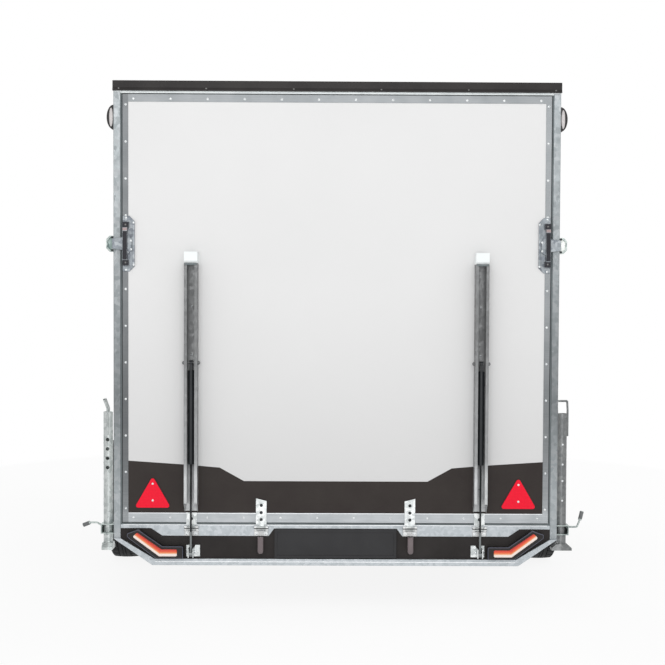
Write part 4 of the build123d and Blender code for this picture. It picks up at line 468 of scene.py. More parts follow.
# The leaves are painted near white as a painted highlight, under the painted bands above.
HINGE_STEEL_PAINTED_HIGHLIGHTS = hot_dip_galvanised(
    "rolled hinge with painted highlights", "#EDF0F0", "#FBFCFC", "#F6F8F8", 0.34, HINGE_PAINTED_HIGHLIGHT_TONES
)

# The springs' rods. The eye sees a near-black rod that ends in a short pale fitting.
FITTING_LENGTH = 116 * MM
fitting_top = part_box("strut_rod_left")[0].z + FITTING_LENGTH
ROD_STEEL = strut_rod_steel("nitrided rod and plated end", fitting_top)

# The rear lamps. The eye sees red glowing into orange over a clear band, both bent at the knee.
lens_low, lens_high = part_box("rear_lamp_lenses")
lens_knee = lens_high.x - 122 * MM
lens_foot_middle = lens_low.z + 16.5 * MM
LENS_SLOPE = 0.74
LENS_HALF_HEIGHT = 17 * MM
LAMP_LENS = lamp_lens(
    "red and clear lamp lens", lens_knee, lens_foot_middle, LENS_SLOPE, LENS_HALF_HEIGHT
)

# Every solid that shows as it is, with its finish.
NODE_FINISHES = (
    (GALVANISED, ("latch_keepers", "leg_clamps")),
    (LATCH_STEEL, ("ramp_latches",)),
    (LEG_PAINTED_REFLECTIONS["left"], ("leg_left",)),
    (LEG_PAINTED_REFLECTIONS["right"], ("leg_right",)),
    (HINGE_STEEL_PAINTED_HIGHLIGHTS, ("hinge_lower_leaves",)),
    (GALVANISED_SILL, ("rear_sill", "rear_bumper")),
    (GALVANISED_POSTS, ("rear_posts",)),
    (GALVANISED_CHANNEL, ("ramp_channels",)),
    (
        GALVANISED_BRIGHT,
        ("hinge_upper_leaves", "strut_brackets", "jockey_clamp", "jockey_tube"),
    ),
    (
        GALVANISED_FRAME,
        (
            "chassis_rails", "chassis_crossmembers", "drawbar_arms", "axle_rear", "axle_front",
            "overrun_housing",
        ),
    ),
    (ALUMINIUM_FRAME, ("ramp_frame",)),
    (ALUMINIUM_EDGE, ("edge_profiles",)),
    (ALUMINIUM_HEADER, ("rear_header",)),
    (WHITE_PANEL, ("side_wall_left", "side_wall_right", "front_wall", "roof_panel")),
    (RAMP_WHITE_PAINTED_SHADE, ("ramp_panel",)),
    (FLOOR_FILM, ("floor_panel",)),
    (BLACK_TRIM, ("drip_trim",)),
    (BLACK_LAMP, ("rear_lamp_housings", "outline_lamps")),
    (SMOKED_LAMP, ("plate_lamps",)),
    (BLACK_PLATE, ("number_plate_holder",)),
    (DARK_BOARD, ("rear_board",)),
    (BLACK_GUARD, ("mudguard_left", "mudguard_right")),
    (RUBBER, ("coupling_gaiter",)),
    (BLACK_PAINT, ("handbrake_lever", "strut_cylinder_left", "strut_cylinder_right")),
    (CAP_PAINTED_HIGHLIGHT, ("channel_caps",)),
    (RED_REFLECTOR, ("ramp_reflectors",)),
    (AMBER_LENS, ("marker_lamps",)),
    (LAMP_LENS, ("rear_lamp_lenses",)),
    (ROD_STEEL, ("strut_rod_left", "strut_rod_right")),
    (ZINC, ("coupling_head", "jockey_inner", "jockey_fork")),
    (TYRE_RUBBER, ("jockey_wheel",)),
    (SILVER_WHEEL, [f"rim_{place}_{side}" for place in ("rear", "front") for side in SIDES]),
)
for material, names in NODE_FINISHES:
    for name in names:
        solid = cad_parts[name]
        for slot in solid.material_slots:
            slot.material = material
        if not solid.material_slots:
            solid.data.materials.append(material)

# ---------------------------------------------------------------- making pieces


def add_piece(name, mesh, material, body):
    """Puts a finished mesh in the scene as a piece that rides on a body."""
    piece = bpy.data.objects.new(name, mesh)
    bpy.context.scene.collection.objects.link(piece)
    mesh.materials.clear()
    mesh.materials.append(material)
    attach(piece, body)
    return piece


def from_shape(name, shape, material, body, smooth=False):
    """Closes a bmesh into a piece with its faces outward."""
    bmesh.ops.remove_doubles(shape, verts=shape.verts, dist=0.01 * MM)
    bmesh.ops.recalc_face_normals(shape, faces=shape.faces)
    for face in shape.faces:
        face.smooth = smooth
    mesh = bpy.data.meshes.new(name)
    shape.to_mesh(mesh)
    shape.free()
    return add_piece(name, mesh, material, body)


def plate(shape, outline, near, far):
    """A flat plate: an outline of (x, z) from one y to another."""
    rings = [[shape.verts.new((x, y, z)) for x, z in outline] for y in (near, far)]
    shape.faces.new(rings[0])
    shape.faces.new(rings[1][::-1])
    for i in range(len(outline)):
        j = (i + 1) % len(outline)
        shape.faces.new((rings[0][i], rings[1][i], rings[1][j], rings[0][j]))


def block(shape, low, high, ease):
    """A block between two corners with its edges eased by some millimetres."""
    low, high = Vector(low), Vector(high)
    middle, size = (low + high) / 2, high - low
    scaled = Matrix.Translation(middle) @ Matrix.Diagonal((*size, 1))
    made = bmesh.ops.create_cube(shape, size=1, matrix=scaled)["verts"]
    edges = {edge for vert in made for edge in vert.link_edges}
    limit = min(ease * MM, min(size) * 0.4)
    bmesh.ops.bevel(shape, geom=list(edges), offset=limit, segments=2, profile=0.5, affect="EDGES")


def side_block(shape, side, across, deep, tall, ease):
    """A block on one side of the trailer: two ends out from its middle, two in depth, two in height."""
    left, right = sorted((side * across[0], side * across[1]))
    block(shape, (left, deep[0], tall[0]), (right, deep[1], tall[1]), ease)


def turned(shape, outline, centre, axis, steps):
    """A solid of revolution: an outline of (along the axis, radius) about an axis through the centre."""
    direction = Vector(axis).normalized()
    turn = Vector((0, 0, 1)).rotation_difference(direction).to_matrix()
    rings = []
    for along, radius in outline:
        if radius < 1e-6:
            rings.append([shape.verts.new(Vector(centre) + turn @ Vector((0, 0, along)))])
            continue
        ring = []
        for i in range(steps):
            angle = 2 * math.pi * i / steps
            local = Vector((radius * math.cos(angle), radius * math.sin(angle), along))
            ring.append(shape.verts.new(Vector(centre) + turn @ local))
        rings.append(ring)
    for first, second in zip(rings, rings[1:]):
        for i in range(steps):
            j = (i + 1) % steps
            corners = [first[i % len(first)], first[j % len(first)]]
            corners += [second[j % len(second)], second[i % len(second)]]
            unique = list(dict.fromkeys(corners))
            if len(unique) > 2:
                shape.faces.new(unique)


def rod(shape, start, end, radius, steps=12):
    """A round rod with slightly eased ends."""
    start, end = Vector(start), Vector(end)
    length = (end - start).length
    ease = min(radius * 0.25, length * 0.2)
    foot = [(0, 0), (0, radius - ease), (ease, radius)]
    head = [(length - ease, radius), (length, radius - ease), (length, 0)]
    turned(shape, foot + head, start, end - start, steps)


trees = {}


def surface_of(name):
    """The tree that finds points on a solid."""
    if name not in trees:
        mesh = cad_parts[name].data
        corners = [vertex.co.copy() for vertex in mesh.vertices]
        trees[name] = BVHTree.FromPolygons(corners, [tuple(face.vertices) for face in mesh.polygons])
    return trees[name]


FAR_OUTSIDE = 3


def land(name, point, facing):
    """The point on a solid that is met when coming from outside, against the way it faces."""
    direction = -Vector(facing)
    start = Vector(point) - direction * FAR_OUTSIDE
    hit = surface_of(name).ray_cast(start, direction)[0]
    if hit is None:
        raise ValueError(f"{name} isn't met at {tuple(point)}")
    return hit


def landed(name, spots):
    """Points on a solid's rear face, at spots of (x, z)."""
    return [land(name, (x, 0, z), REARWARD) for x, z in spots]


def mirrored(spots):
    """Spots of (distance from the middle, z) on the left side and then on the right."""
    return [(side * out, z) for side in SIDES.values() for out, z in spots]


# ---------------------------------------------------------------- repeats
FASTENER_SIZES = ("Head radius", "Head height", "Washer radius", "Washer height")


def fastener_tree(name, sides, dome):
    """One head on a washer at every point, all facing one way: domed, or flat with so many sides."""
    tree = bpy.data.node_groups.new(name, "GeometryNodeTree")
    sockets = tree.interface
    sockets.new_socket("Points", in_out="INPUT", socket_type="NodeSocketGeometry")
    for label in FASTENER_SIZES:
        sockets.new_socket(label, in_out="INPUT", socket_type="NodeSocketFloat")
    sockets.new_socket("Facing", in_out="INPUT", socket_type="NodeSocketVector")
    sockets.new_socket("Finish", in_out="INPUT", socket_type="NodeSocketMaterial")
    sockets.new_socket("Fasteners", in_out="OUTPUT", socket_type="NodeSocketGeometry")
    given = node(tree, "NodeGroupInput")
    head_radius, head_height, washer_radius, washer_height = [(given, label) for label in FASTENER_SIZES]
    if dome:
        ball = {"Segments": sides, "Rings": 6, "Radius": head_radius}
        head = node(tree, "GeometryNodeMeshUVSphere", ball)
        ratio = node(tree, "ShaderNodeMath", {0: head_height, 1: head_radius}, operation="DIVIDE")
        squash = node(tree, "ShaderNodeCombineXYZ", {"X": 1, "Y": 1, "Z": (ratio, "Value")})
        shaped = {"Geometry": (head, "Mesh"), "Scale": (squash, "Vector")}
    else:
        prism = {"Vertices": sides, "Radius": head_radius, "Depth": head_height}
        head = node(tree, "GeometryNodeMeshCylinder", prism)
        half = node(tree, "ShaderNodeMath", {0: head_height, 1: 0.5}, operation="MULTIPLY")
        lift = node(tree, "ShaderNodeMath", {0: (half, "Value"), 1: washer_height}, operation="ADD")
        rise = node(tree, "ShaderNodeCombineXYZ", {"Z": (lift, "Value")})
        shaped = {"Geometry": (head, "Mesh"), "Translation": (rise, "Vector")}
    body = node(tree, "GeometryNodeTransform", shaped)
    collar = {"Vertices": 16, "Radius": washer_radius, "Depth": washer_height}
    washer = node(tree, "GeometryNodeMeshCylinder", collar)
    seat = node(tree, "ShaderNodeMath", {0: washer_height, 1: 0.5}, operation="MULTIPLY")
    seat_rise = node(tree, "ShaderNodeCombineXYZ", {"Z": (seat, "Value")})
    lifted = {"Geometry": (washer, "Mesh"), "Translation": (seat_rise, "Vector")}
    seated = node(tree, "GeometryNodeTransform", lifted)
    joined = node(tree, "GeometryNodeJoinGeometry")
    for part in (body, seated):
        link(tree, (part, "Geometry"), joined, "Geometry")
    turn = node(tree, "FunctionNodeAlignRotationToVector", {"Vector": (given, "Facing")}, axis="Z")
    # A number's own least and most are the inputs 2 and 3: each head is turned by up to one flat.
    chance = {2: 0.0, 3: math.pi / 3, "Seed": 7}
    spin = node(tree, "FunctionNodeRandomValue", chance, data_type="FLOAT")
    angles = node(tree, "ShaderNodeCombineXYZ", {"Z": (spin, 1)})
    own = node(tree, "FunctionNodeEulerToRotation", {"Euler": (angles, "Vector")})
    turns = {"Rotation": (turn, "Rotation"), "Rotate By": (own, "Rotation")}
    rotation = node(tree, "FunctionNodeRotateRotation", turns, rotation_space="LOCAL")
    laid = {"Points": (given, "Points"), "Instance": (joined, "Geometry"), "Rotation": (rotation, "Rotation")}
    placed = node(tree, "GeometryNodeInstanceOnPoints", laid)
    real = node(tree, "GeometryNodeRealizeInstances", {"Geometry": (placed, "Instances")})
    coated = {"Geometry": (real, "Geometry"), "Material": (given, "Finish")}
    done = node(tree, "GeometryNodeSetMaterial", coated)
    node(tree, "NodeGroupOutput", {"Fasteners": (done, "Geometry")})
    return tree


RIVETS = fastener_tree("domed rivets on collars", 12, True)
NUTS = fastener_tree("hexagon heads on washers", 6, False)


def fasteners(name, body, spots, material, sizes, facing=REARWARD, tree=RIVETS):
    """Fasteners at spots on a body's face; the sizes are those of FASTENER_SIZES, in millimetres."""
    mesh = bpy.data.meshes.new(name)
    mesh.from_pydata([tuple(spot) for spot in spots], [], [])
    holder = bpy.data.objects.new(name, mesh)
    bpy.context.scene.collection.objects.link(holder)
    repeat = holder.modifiers.new("fasteners", "NODES")
    repeat.node_group = tree
    values = {"Facing": facing, "Finish": material}
    values.update({label: size * MM for label, size in zip(FASTENER_SIZES, sizes)})
    for item in tree.interface.items_tree:
        if item.in_out == "INPUT" and item.name in values:
            repeat[item.identifier] = values[item.name]
    seen = holder.evaluated_get(bpy.context.evaluated_depsgraph_get())
    made = bpy.data.meshes.new_from_object(seen)
    bpy.data.objects.remove(holder)
    made.name = name
    add_piece(name, made, material, body)


# Each fastener's four sizes in millimetres.
FRAME_RIVET = (4.2, 3.4, 5.2, 0.6)
SMALL_HEAD = (3.6, 2.2, 4.6, 0.5)
LEG_RIVET = (4.5, 0.25, 5, 0.1)
REFLECTOR_SCREW = (4, 2.6, 5, 0.6)
TRIM_SCREW = (3.2, 1.6, 4, 0.4)
LATCH_PIN = (3.2, 1.6, 4, 0.5)
STRAP_BOLT = (6.5, 4, 7.5, 0.8)
LEAF_BOLT = (6, 4, 8.5, 1)
KEEPER_BOLT = (4.5, 3, 5.5, 0.6)
BRACKET_BOLT = (8, 6, 9, 1)
WHEEL_NUT = (12, 15, 15, 2)


def evenly(first, last, count):
    """Evenly spaced values with both ends."""
    return [first + (last - first) * i / (count - 1) for i in range(count)]


# ---------------------------------------------------------------- ramp door
ramp_low, ramp_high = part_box("ramp_frame")
panel_low, panel_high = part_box("ramp_panel")
rear_face = panel_low.y
RIVETS_PER_SIDE = 12
top_row = ramp_high.z - 24 * MM
bottom_row = ramp_low.z + 24 * MM
side_row = ramp_high.x - 17 * MM
row_end = ramp_high.x - 53 * MM
column_ends = (ramp_low.z + 67 * MM, ramp_high.z - 51 * MM)
spots = [(x, z) for x in evenly(-row_end, row_end, RIVETS_PER_SIDE) for z in (bottom_row, top_row)]
spots += [(side * side_row, z) for z in evenly(*column_ends, RIVETS_PER_SIDE) for side in SIDES.values()]
fasteners("ramp_frame_rivets", "ramp", landed("ramp_frame", spots), BRIGHT_BOLT, FRAME_RIVET)

# The band's upper edge in millimetres, out from the middle and up from the panel's foot. It ends
# at the panel's side.
BAND_EDGE = ((0, 150), (430, 150), (544, 213), (697, 226))
BAND_SIDE_HEIGHT = 244
FOIL_PROUD = 0.5 * MM
FOIL_SUNK = 0.2 * MM


def dark_band():
    """The dark foil along the foot of the panel, higher at both sides than in the middle."""
    shape = bmesh.new()
    low = panel_low.z
    upper = [(x * MM, low + z * MM) for x, z in BAND_EDGE]
    upper.append((panel_high.x, low + BAND_SIDE_HEIGHT * MM))
    outline = [(-x, z) for x, z in upper[:0:-1]] + upper
    outline += [(panel_high.x, low), (panel_low.x, low)]
    plate(shape, outline, rear_face - FOIL_PROUD, rear_face + FOIL_SUNK)
    from_shape("ramp_dark_band", shape, DARK_FOIL, "ramp")


dark_band()

reflector_low, reflector_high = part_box("ramp_reflectors")
reflector_middle = reflector_high.x - 77.7 * MM
SCREWS_UP = (34 * MM, 113 * MM)
spots = mirrored([(reflector_middle, reflector_low.z + up) for up in SCREWS_UP])
screws = landed("ramp_reflectors", spots)
fasteners("reflector_fixings", "ramp", screws, BRIGHT_BOLT, REFLECTOR_SCREW)

FILM_THICKNESS = 0.4 * MM
TREADS = 9
TREAD_HALF_WIDTH = 12 * MM
TREAD_HEIGHT = 1.3 * MM
TREAD_FROM_END = 130 * MM
TREAD_FROM_SIDE = 60 * MM


def inner_skin():
    """The ramp's walking face: film-faced ply with aluminium treads across it."""
    shape = bmesh.new()
    far = panel_high.y
    left, right, foot, top = panel_low.x, panel_high.x, panel_low.z, panel_high.z
    plate(shape, [(left, foot), (right, foot), (right, top), (left, top)], far, far + FILM_THICKNESS)
    from_shape("ramp_walking_film", shape, FLOOR_FILM, "ramp")
    treads = bmesh.new()
    for z in evenly(foot + TREAD_FROM_END, top - TREAD_FROM_END, TREADS):
        low = (left + TREAD_FROM_SIDE, far, z - TREAD_HALF_WIDTH)
        high = (right - TREAD_FROM_SIDE, far + TREAD_HEIGHT, z + TREAD_HALF_WIDTH)
        block(treads, low, high, 0.5)
    from_shape("ramp_treads", treads, ALUMINIUM_HEADER, "ramp")


inner_skin()

cap_low, cap_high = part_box("channel_caps")
channel_middle = cap_high.x - 31 * MM
WEB_RIVET_HEIGHTS = (1413 * MM, 1186 * MM, 560 * MM)
rivets = landed("ramp_channels", mirrored([(channel_middle, z) for z in WEB_RIVET_HEIGHTS]))
fasteners("channel_web_bolts", "ramp", rivets, ZINC, SMALL_HEAD)

OUTER_LEAF_WIDTH = 66 * MM
outer_hinge = leaf_high.x - OUTER_LEAF_WIDTH / 2
INNER_HINGE = 348.5 * MM
INNER_STRAP_HEIGHTS = (482 * MM, 448 * MM, 415 * MM)
OUTER_STRAP_HEIGHT = 418 * MM
LEAF_BOLTS_OUT = (-22 * MM, 22 * MM)
leaf_bolt_height = leaf_low.z + 11 * MM
spots = [(INNER_HINGE, z) for z in INNER_STRAP_HEIGHTS] + [(outer_hinge, OUTER_STRAP_HEIGHT)]
bolts = landed("hinge_upper_leaves", mirrored(spots))
fasteners("hinge_strap_bolts", "ramp", bolts, DARK_BOLT, STRAP_BOLT)
hinges = [side * hinge for side in SIDES.values() for hinge in (INNER_HINGE, outer_hinge)]
spots = [(hinge + out, leaf_bolt_height) for hinge in hinges for out in LEAF_BOLTS_OUT]
bolts = landed("hinge_lower_leaves", spots)
fasteners("hinge_leaf_bolts", "chassis", bolts, BRIGHT_BOLT, LEAF_BOLT)

# ---------------------------------------------------------------- latches
latch_low, latch_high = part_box("ramp_latches")
latch_middle = (latch_low.z + latch_high.z) / 2
latch_edge = ramp_high.x - 4 * MM
latch_inner = latch_edge - 55 * MM
BLOCK_OFFSET = 88 * MM
SLEEVE_PROUD = 0.4 * MM


def latch_covers():
    """The dark lever and its two end blocks, as painted and moulded sleeves over the latch."""
    levers, catches = bmesh.new(), bmesh.new()
    block_across = (latch_edge - 29.3 * MM, latch_edge + 0.3 * MM)
    block_deep = (latch_low.y - SLEEVE_PROUD, latch_low.y + 17 * MM)
    block_half = 13.3 * MM
    lever_across = (latch_edge - 22.4 * MM, latch_edge + 0.2 * MM)
    lever_deep = (latch_low.y - SLEEVE_PROUD, latch_low.y + 14.4 * MM)
    lever_tall = (latch_middle - 75 * MM, latch_middle + 60 * MM)
    catch_deep = (latch_low.y - 0.2 * MM, latch_low.y + 14 * MM)
    catch_tall = (lever_tall[1], lever_tall[1] + 15 * MM)
    for side in SIDES.values():
        for way in (-1, 1):
            z = latch_middle + way * BLOCK_OFFSET
            side_block(levers, side, block_across, block_deep, (z - block_half, z + block_half), 2)
        side_block(levers, side, lever_across, lever_deep, lever_tall, 2.5)
        side_block(catches, side, lever_across, catch_deep, catch_tall, 1.5)
    from_shape("latch_lever_sleeves", levers, BLACK_LEVER, "ramp")
    from_shape("latch_catches", catches, PINK_ZINC, "ramp")


latch_covers()
pin_out = latch_edge - 14.5 * MM
spots = mirrored([(pin_out, latch_middle + way * BLOCK_OFFSET) for way in (-1, 1)])
pins = [(x, latch_low.y - SLEEVE_PROUD, z) for x, z in spots]
fasteners("latch_block_bolts", "ramp", pins, DULL_ZINC, LATCH_PIN)
# The latch plate's screws, out from the middle and up from the latch's own middle.
plate_screws = (
    (latch_inner + 4.5 * MM, -98), (latch_edge - 15 * MM, -121),
    (latch_inner + 4.5 * MM, 98), (latch_edge - 15 * MM, 121),
    (latch_inner + 16 * MM, 14), (latch_inner + 16 * MM, -26),
)
spots = mirrored([(out, latch_middle + up * MM) for out, up in plate_screws])
fasteners("latch_plate_screws", "ramp", landed("ramp_latches", spots), BRIGHT_BOLT, SMALL_HEAD)

keeper_low, keeper_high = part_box("latch_keepers")
post_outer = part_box("rear_posts")[1].x
bolt_out = keeper_high.x - 28 * MM
BOLT_FROM_END = 7 * MM
spots = mirrored([(bolt_out, z) for z in (keeper_low.z + BOLT_FROM_END, keeper_high.z - BOLT_FROM_END)])
fasteners("keeper_bolts", "chassis", landed("latch_keepers", spots), DARK_BOLT, KEEPER_BOLT)


def keeper_webs():
    """The pressed web that closes each keeper, set in from its rear edge."""
    rim, corner, set_in, thickness = 5 * MM, 13 * MM, 8 * MM, 3 * MM
    near = keeper_low.y + set_in
    inner, outer = post_outer + 0.5 * MM, keeper_high.x - rim
    low, high = keeper_low.z + rim, keeper_high.z - rim
    outline = [
        (inner, low), (outer - corner, low), (outer, low + corner), (outer, high - corner),
        (outer - corner, high), (inner, high),
    ]
    # The left web is painted in shade, the right one painted lit.
    for name, web in (("left", KEEPER_PAINTED_SHADE), ("right", KEEPER_PAINTED_LIT)):
        shape = bmesh.new()
        plate(shape, [(SIDES[name] * x, z) for x, z in outline], near, near + thickness)
        from_shape(f"keeper_web_{name}", shape, web, "chassis")


keeper_webs()

# ---------------------------------------------------------------- rear frame
TRIM_SCREWS = 6
TRIM_SCREW_PITCH = 405.8 * MM
trim_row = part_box("drip_trim")[0].z + 10 * MM
spots = [((i - (TRIM_SCREWS - 1) / 2) * TRIM_SCREW_PITCH, trim_row) for i in range(TRIM_SCREWS)]
fasteners("trim_screws", "chassis", landed("drip_trim", spots), DULL_ZINC, TRIM_SCREW)


def ramp_seals():
    """The rubber strips round the closed ramp, and the light strip under the header."""
    inner, outer = ramp_high.x + 2 * MM, post_outer - 33 * MM
    near, far = rear_face + 1 * MM, rear_face + 36 * MM
    header_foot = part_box("rear_header")[0].z
    sill_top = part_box("rear_sill")[1].z
    shape = bmesh.new()
    for side in SIDES.values():
        side_block(shape, side, (inner, outer), (near, far), (sill_top, header_foot), 1)
    block(shape, (-inner, near, sill_top - 1 * MM), (inner, far, ramp_low.z - 2 * MM), 1)
    from_shape("ramp_seals", shape, GREY_SEAL, "chassis")
    strip = bmesh.new()
    strip_foot = ramp_high.z + 1.5 * MM
    block(strip, (-outer, rear_face - 1 * MM, strip_foot), (outer, far, header_foot + 1 * MM), 0.4)
    from_shape("header_strip", strip, ALUMINIUM_HEADER, "chassis")


ramp_seals()

EDGE_HEIGHT = 3.5 * MM
EDGE_PROUD = 0.8 * MM
EDGE_SUNK = 1 * MM


def painted_edge_highlights():
    """Painted highlights: thin near-white strips along the folded edges of the sill, the bumper and the foot
    of the ramp's frame.
    """
    sill_low, sill_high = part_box("rear_sill")
    bumper_low, bumper_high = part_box("rear_bumper")
    bumper_half = bumper_high.x - 195 * MM
    sill_half = sill_high.x - 12 * MM
    bumper_lip = bumper_low.z + 15 * MM
    edges = {
        "sill_painted_highlight": ("chassis", "galvanised", sill_half, sill_low.y, sill_high.z - EDGE_HEIGHT),
        "bumper_painted_highlight": ("chassis", "galvanised", bumper_half, bumper_low.y, bumper_lip),
        "frame_painted_highlight": ("ramp", "aluminium", panel_high.x, ramp_low.y, panel_low.z - EDGE_HEIGHT),
    }
    for name, (body, slot, half, face, low) in edges.items():
        shape = bmesh.new()
        block(shape, (-half, face - EDGE_PROUD, low), (half, face + EDGE_SUNK, low + EDGE_HEIGHT), 0.4)
        from_shape(name, shape, PAINTED_EDGE_HIGHLIGHT, body)


painted_edge_highlights()

OVAL_HALF_WIDTH = 9 * MM
OVAL_HALF_HEIGHT = 44 * MM
OVAL_STEPS = 40
# The dome's millimetres past the lamp's face, and its size there as a share.
DOME = ((-2, 1.0), (1.2, 0.99), (2.8, 0.9), (3.8, 0.7), (4.3, 0.4))


def outline_lenses():
    """Clear oval lenses through the outline lamps, domed to the rear and to the front."""
    low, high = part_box("outline_lamps")
    middle = (low + high) / 2
    lens_out = high.x - 20.5 * MM
    half = (high.y - low.y) / 2
    front = [(half + past * MM, size) for past, size in DOME]
    levels = [(-reach, size) for reach, size in front[::-1]] + front
    shape = bmesh.new()
    for side in SIDES.values():
        centre = Vector((side * lens_out, middle.y, middle.z))
        rings = []
        for reach, size in levels:
            ring = []
            for i in range(OVAL_STEPS):
                angle = 2 * math.pi * i / OVAL_STEPS
                across, up = OVAL_HALF_WIDTH * math.cos(angle), OVAL_HALF_HEIGHT * math.sin(angle)
                ring.append(shape.verts.new(centre + Vector((across * size, reach, up * size))))
            rings.append(ring)
        for first, second in zip(rings, rings[1:]):
            for i in range(OVAL_STEPS):
                j = (i + 1) % OVAL_STEPS
                shape.faces.new((first[i], first[j], second[j], second[i]))
        shape.faces.new(rings[0])
        shape.faces.new(rings[-1][::-1])
    from_shape("outline_lamp_lenses", shape, CLEAR_LENS, "chassis", smooth=True)


outline_lenses()

bracket_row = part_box("strut_brackets")[0].z + 21 * MM
BRACKET_BOLTS_OUT = (-17 * MM, 15 * MM)
spots = mirrored([(channel_middle + out, bracket_row) for out in BRACKET_BOLTS_OUT])
bolts = landed("strut_brackets", spots)
fasteners("strut_bracket_bolts", "chassis", bolts, BRIGHT_BOLT, BRACKET_BOLT)


def cap_skirts():
    """The grey sealing lip at the foot of each white cap."""
    shape = bmesh.new()
    across = (cap_high.x - 59 * MM, cap_high.x - 3 * MM)
    deep = (cap_low.y + 2.5 * MM, cap_low.y + 8 * MM)
    tall = (cap_low.z - 8 * MM, cap_low.z - 0.2 * MM)
    for side in SIDES.values():
        side_block(shape, side, across, deep, tall, 0.5)
    from_shape("cap_skirts", shape, GREY_SEAL, "ramp")


cap_skirts()

# ---------------------------------------------------------------- steady legs
clamps_low, clamps_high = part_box("leg_clamps")
clamps_middle = (clamps_low.y + clamps_high.y) / 2
GRIP_RADIUS = 9.6 * MM
ROUND_STEPS = 20


def clamp_fittings():
    """Dark plates in the leg clamps that stand in for the shade inside them, and the grey grips on their
    levers.
    """
    shape = bmesh.new()
    across = (post_outer + 3 * MM, leg_centre + 27 * MM)
    deep = (clamps_high.y - 3.5 * MM, clamps_high.y - 0.5 * MM)
    tall = (clamps_low.z + 5 * MM, clamps_low.z + 43 * MM)
    for side in SIDES.values():
        side_block(shape, side, across, deep, tall, 0.5)
    from_shape("clamp_shade_plates", shape, CLAMP_SHADE, "chassis")
    grips = bmesh.new()
    lever_height = clamps_low.z + 36 * MM
    lever_root = leg_centre + 32 * MM
    # Each grip's two ends, out from the lever's root and up from its height, in millimetres.
    for side, ends in ((1, ((59, 38), (68, 76.6))), (-1, ((58, 13), (90.4, 0)))):
        start, end = [
            (side * (lever_root + out * MM), clamps_middle, lever_height + up * MM) for out, up in ends
        ]
        rod(grips, start, end, GRIP_RADIUS, ROUND_STEPS)
    from_shape("clamp_grips", grips, GREY_GRIP, "chassis", smooth=True)


clamp_fittings()

LEG_RIVET_HEIGHTS = (752 * MM, 656 * MM, 576 * MM, 480 * MM)
SPINDLE_ENDS = (367 * MM, 557 * MM)
SPINDLE_RADIUS = 17 * MM


def leg_rivets(body, facing):
    """The rivets up one side of a leg."""
    low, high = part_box(body)
    middle = (low + high) / 2
    rivets = [land(body, (middle.x, middle.y, z), facing) for z in LEG_RIVET_HEIGHTS]
    name = body.replace("leg_", "leg_rivets_")
    fasteners(name, body, rivets, BRIGHT_BOLT, LEG_RIVET, facing)


def leg_spindle(name, side):
    """The inner tube of a leg, seen through its holes, in near-black zinc that paints the shade inside the
    leg.
    """
    foot_of_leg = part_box(f"leg_{name}")[0].z
    shape = bmesh.new()
    foot, head = [(side * leg_centre, clamps_middle, foot_of_leg + up) for up in SPINDLE_ENDS]
    rod(shape, foot, head, SPINDLE_RADIUS, ROUND_STEPS)
    from_shape(f"leg_spindle_{name}", shape, CLAMP_SHADE, f"leg_{name}", smooth=True)


# The left leg's rivets are on its outer side, and the right leg's on its rear.
leg_rivets("leg_left", (-1, 0, 0))
leg_rivets("leg_right", REARWARD)
for name, side in SIDES.items():
    leg_spindle(name, side)

# ---------------------------------------------------------------- body seams
seam_low, seam_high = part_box("edge_profiles")
SEAM_IN = 22 * MM
UPWARD, FORWARD = (0, 0, 1), (0, 1, 0)
LENGTH_RIVETS, HEIGHT_RIVETS, FRONT_RIVETS, ROOF_RIVETS = 27, 13, 14, 12
lower_row = seam_low.z + 21 * MM
upper_row = seam_high.z - 24 * MM
length_spots = evenly(seam_low.y + 60 * MM, seam_high.y - 25 * MM, LENGTH_RIVETS)
height_spots = evenly(lower_row + 75 * MM, upper_row - 75 * MM, HEIGHT_RIVETS)
side_seam = seam_high.x - SEAM_IN
front_seam = seam_high.y - SEAM_IN
for name, side in SIDES.items():
    facing = (side, 0, 0)
    row = [(y, upper_row) for y in length_spots] + [(front_seam, z) for z in height_spots]
    rivets = [land("edge_profiles", (side, y, z), facing) for y, z in row]
    rivets += [land(f"side_wall_{name}", (side, y, lower_row), facing) for y in length_spots]
    fasteners(f"side_rivets_{name}", "chassis", rivets, ZINC, SMALL_HEAD, facing)
front_spots = evenly(-980 * MM, 980 * MM, FRONT_RIVETS)
row = [(x, upper_row) for x in front_spots]
row += [(side * side_seam, z) for z in height_spots for side in SIDES.values()]
rivets = [land("edge_profiles", (x, seam_high.y, z), FORWARD) for x, z in row]
rivets += [land("front_wall", (x, seam_high.y, lower_row), FORWARD) for x in front_spots]
fasteners("front_rivets", "chassis", rivets, ZINC, SMALL_HEAD, FORWARD)
row = [(side * side_seam, y) for y in length_spots for side in SIDES.values()]
row += [(x, front_seam) for x in evenly(-850 * MM, 850 * MM, ROOF_RIVETS)]
rivets = [land("edge_profiles", (x, y, seam_high.z), UPWARD) for x, y in row]
fasteners("roof_rivets", "chassis", rivets, ZINC, SMALL_HEAD, UPWARD)

# ---------------------------------------------------------------- wheels
# All in millimetres: each rib's two edges across the tread, and the tyre's sidewall from the bead
# to the shoulder as (distance from the middle, radius).
TREAD_STEPS = 180
RIBS = ((-62, -34), (-28, -10), (-4, 4), (10, 28), (34, 62))
GROOVE_DEPTH = 5
GROOVE_WIDTH = 6
GROOVE_SLOPE = 0.8
RIB_EASE = 1
INNER_WALL = (
    (54.6, 170.2), (54.6, 180), (60, 187), (69, 194), (74, 203), (76.5, 206), (77.5, 204.5), (79, 206),
    (79.5, 212), (81.5, 224),
)
OUTER_WALL = ((81, 262), (78.5, 272), (76, 280), (72, 287), (68.5, 291), (65, 293.4))
# The crown falls by this much times the square of the distance from the middle.
CROWN_FALL = 0.0009
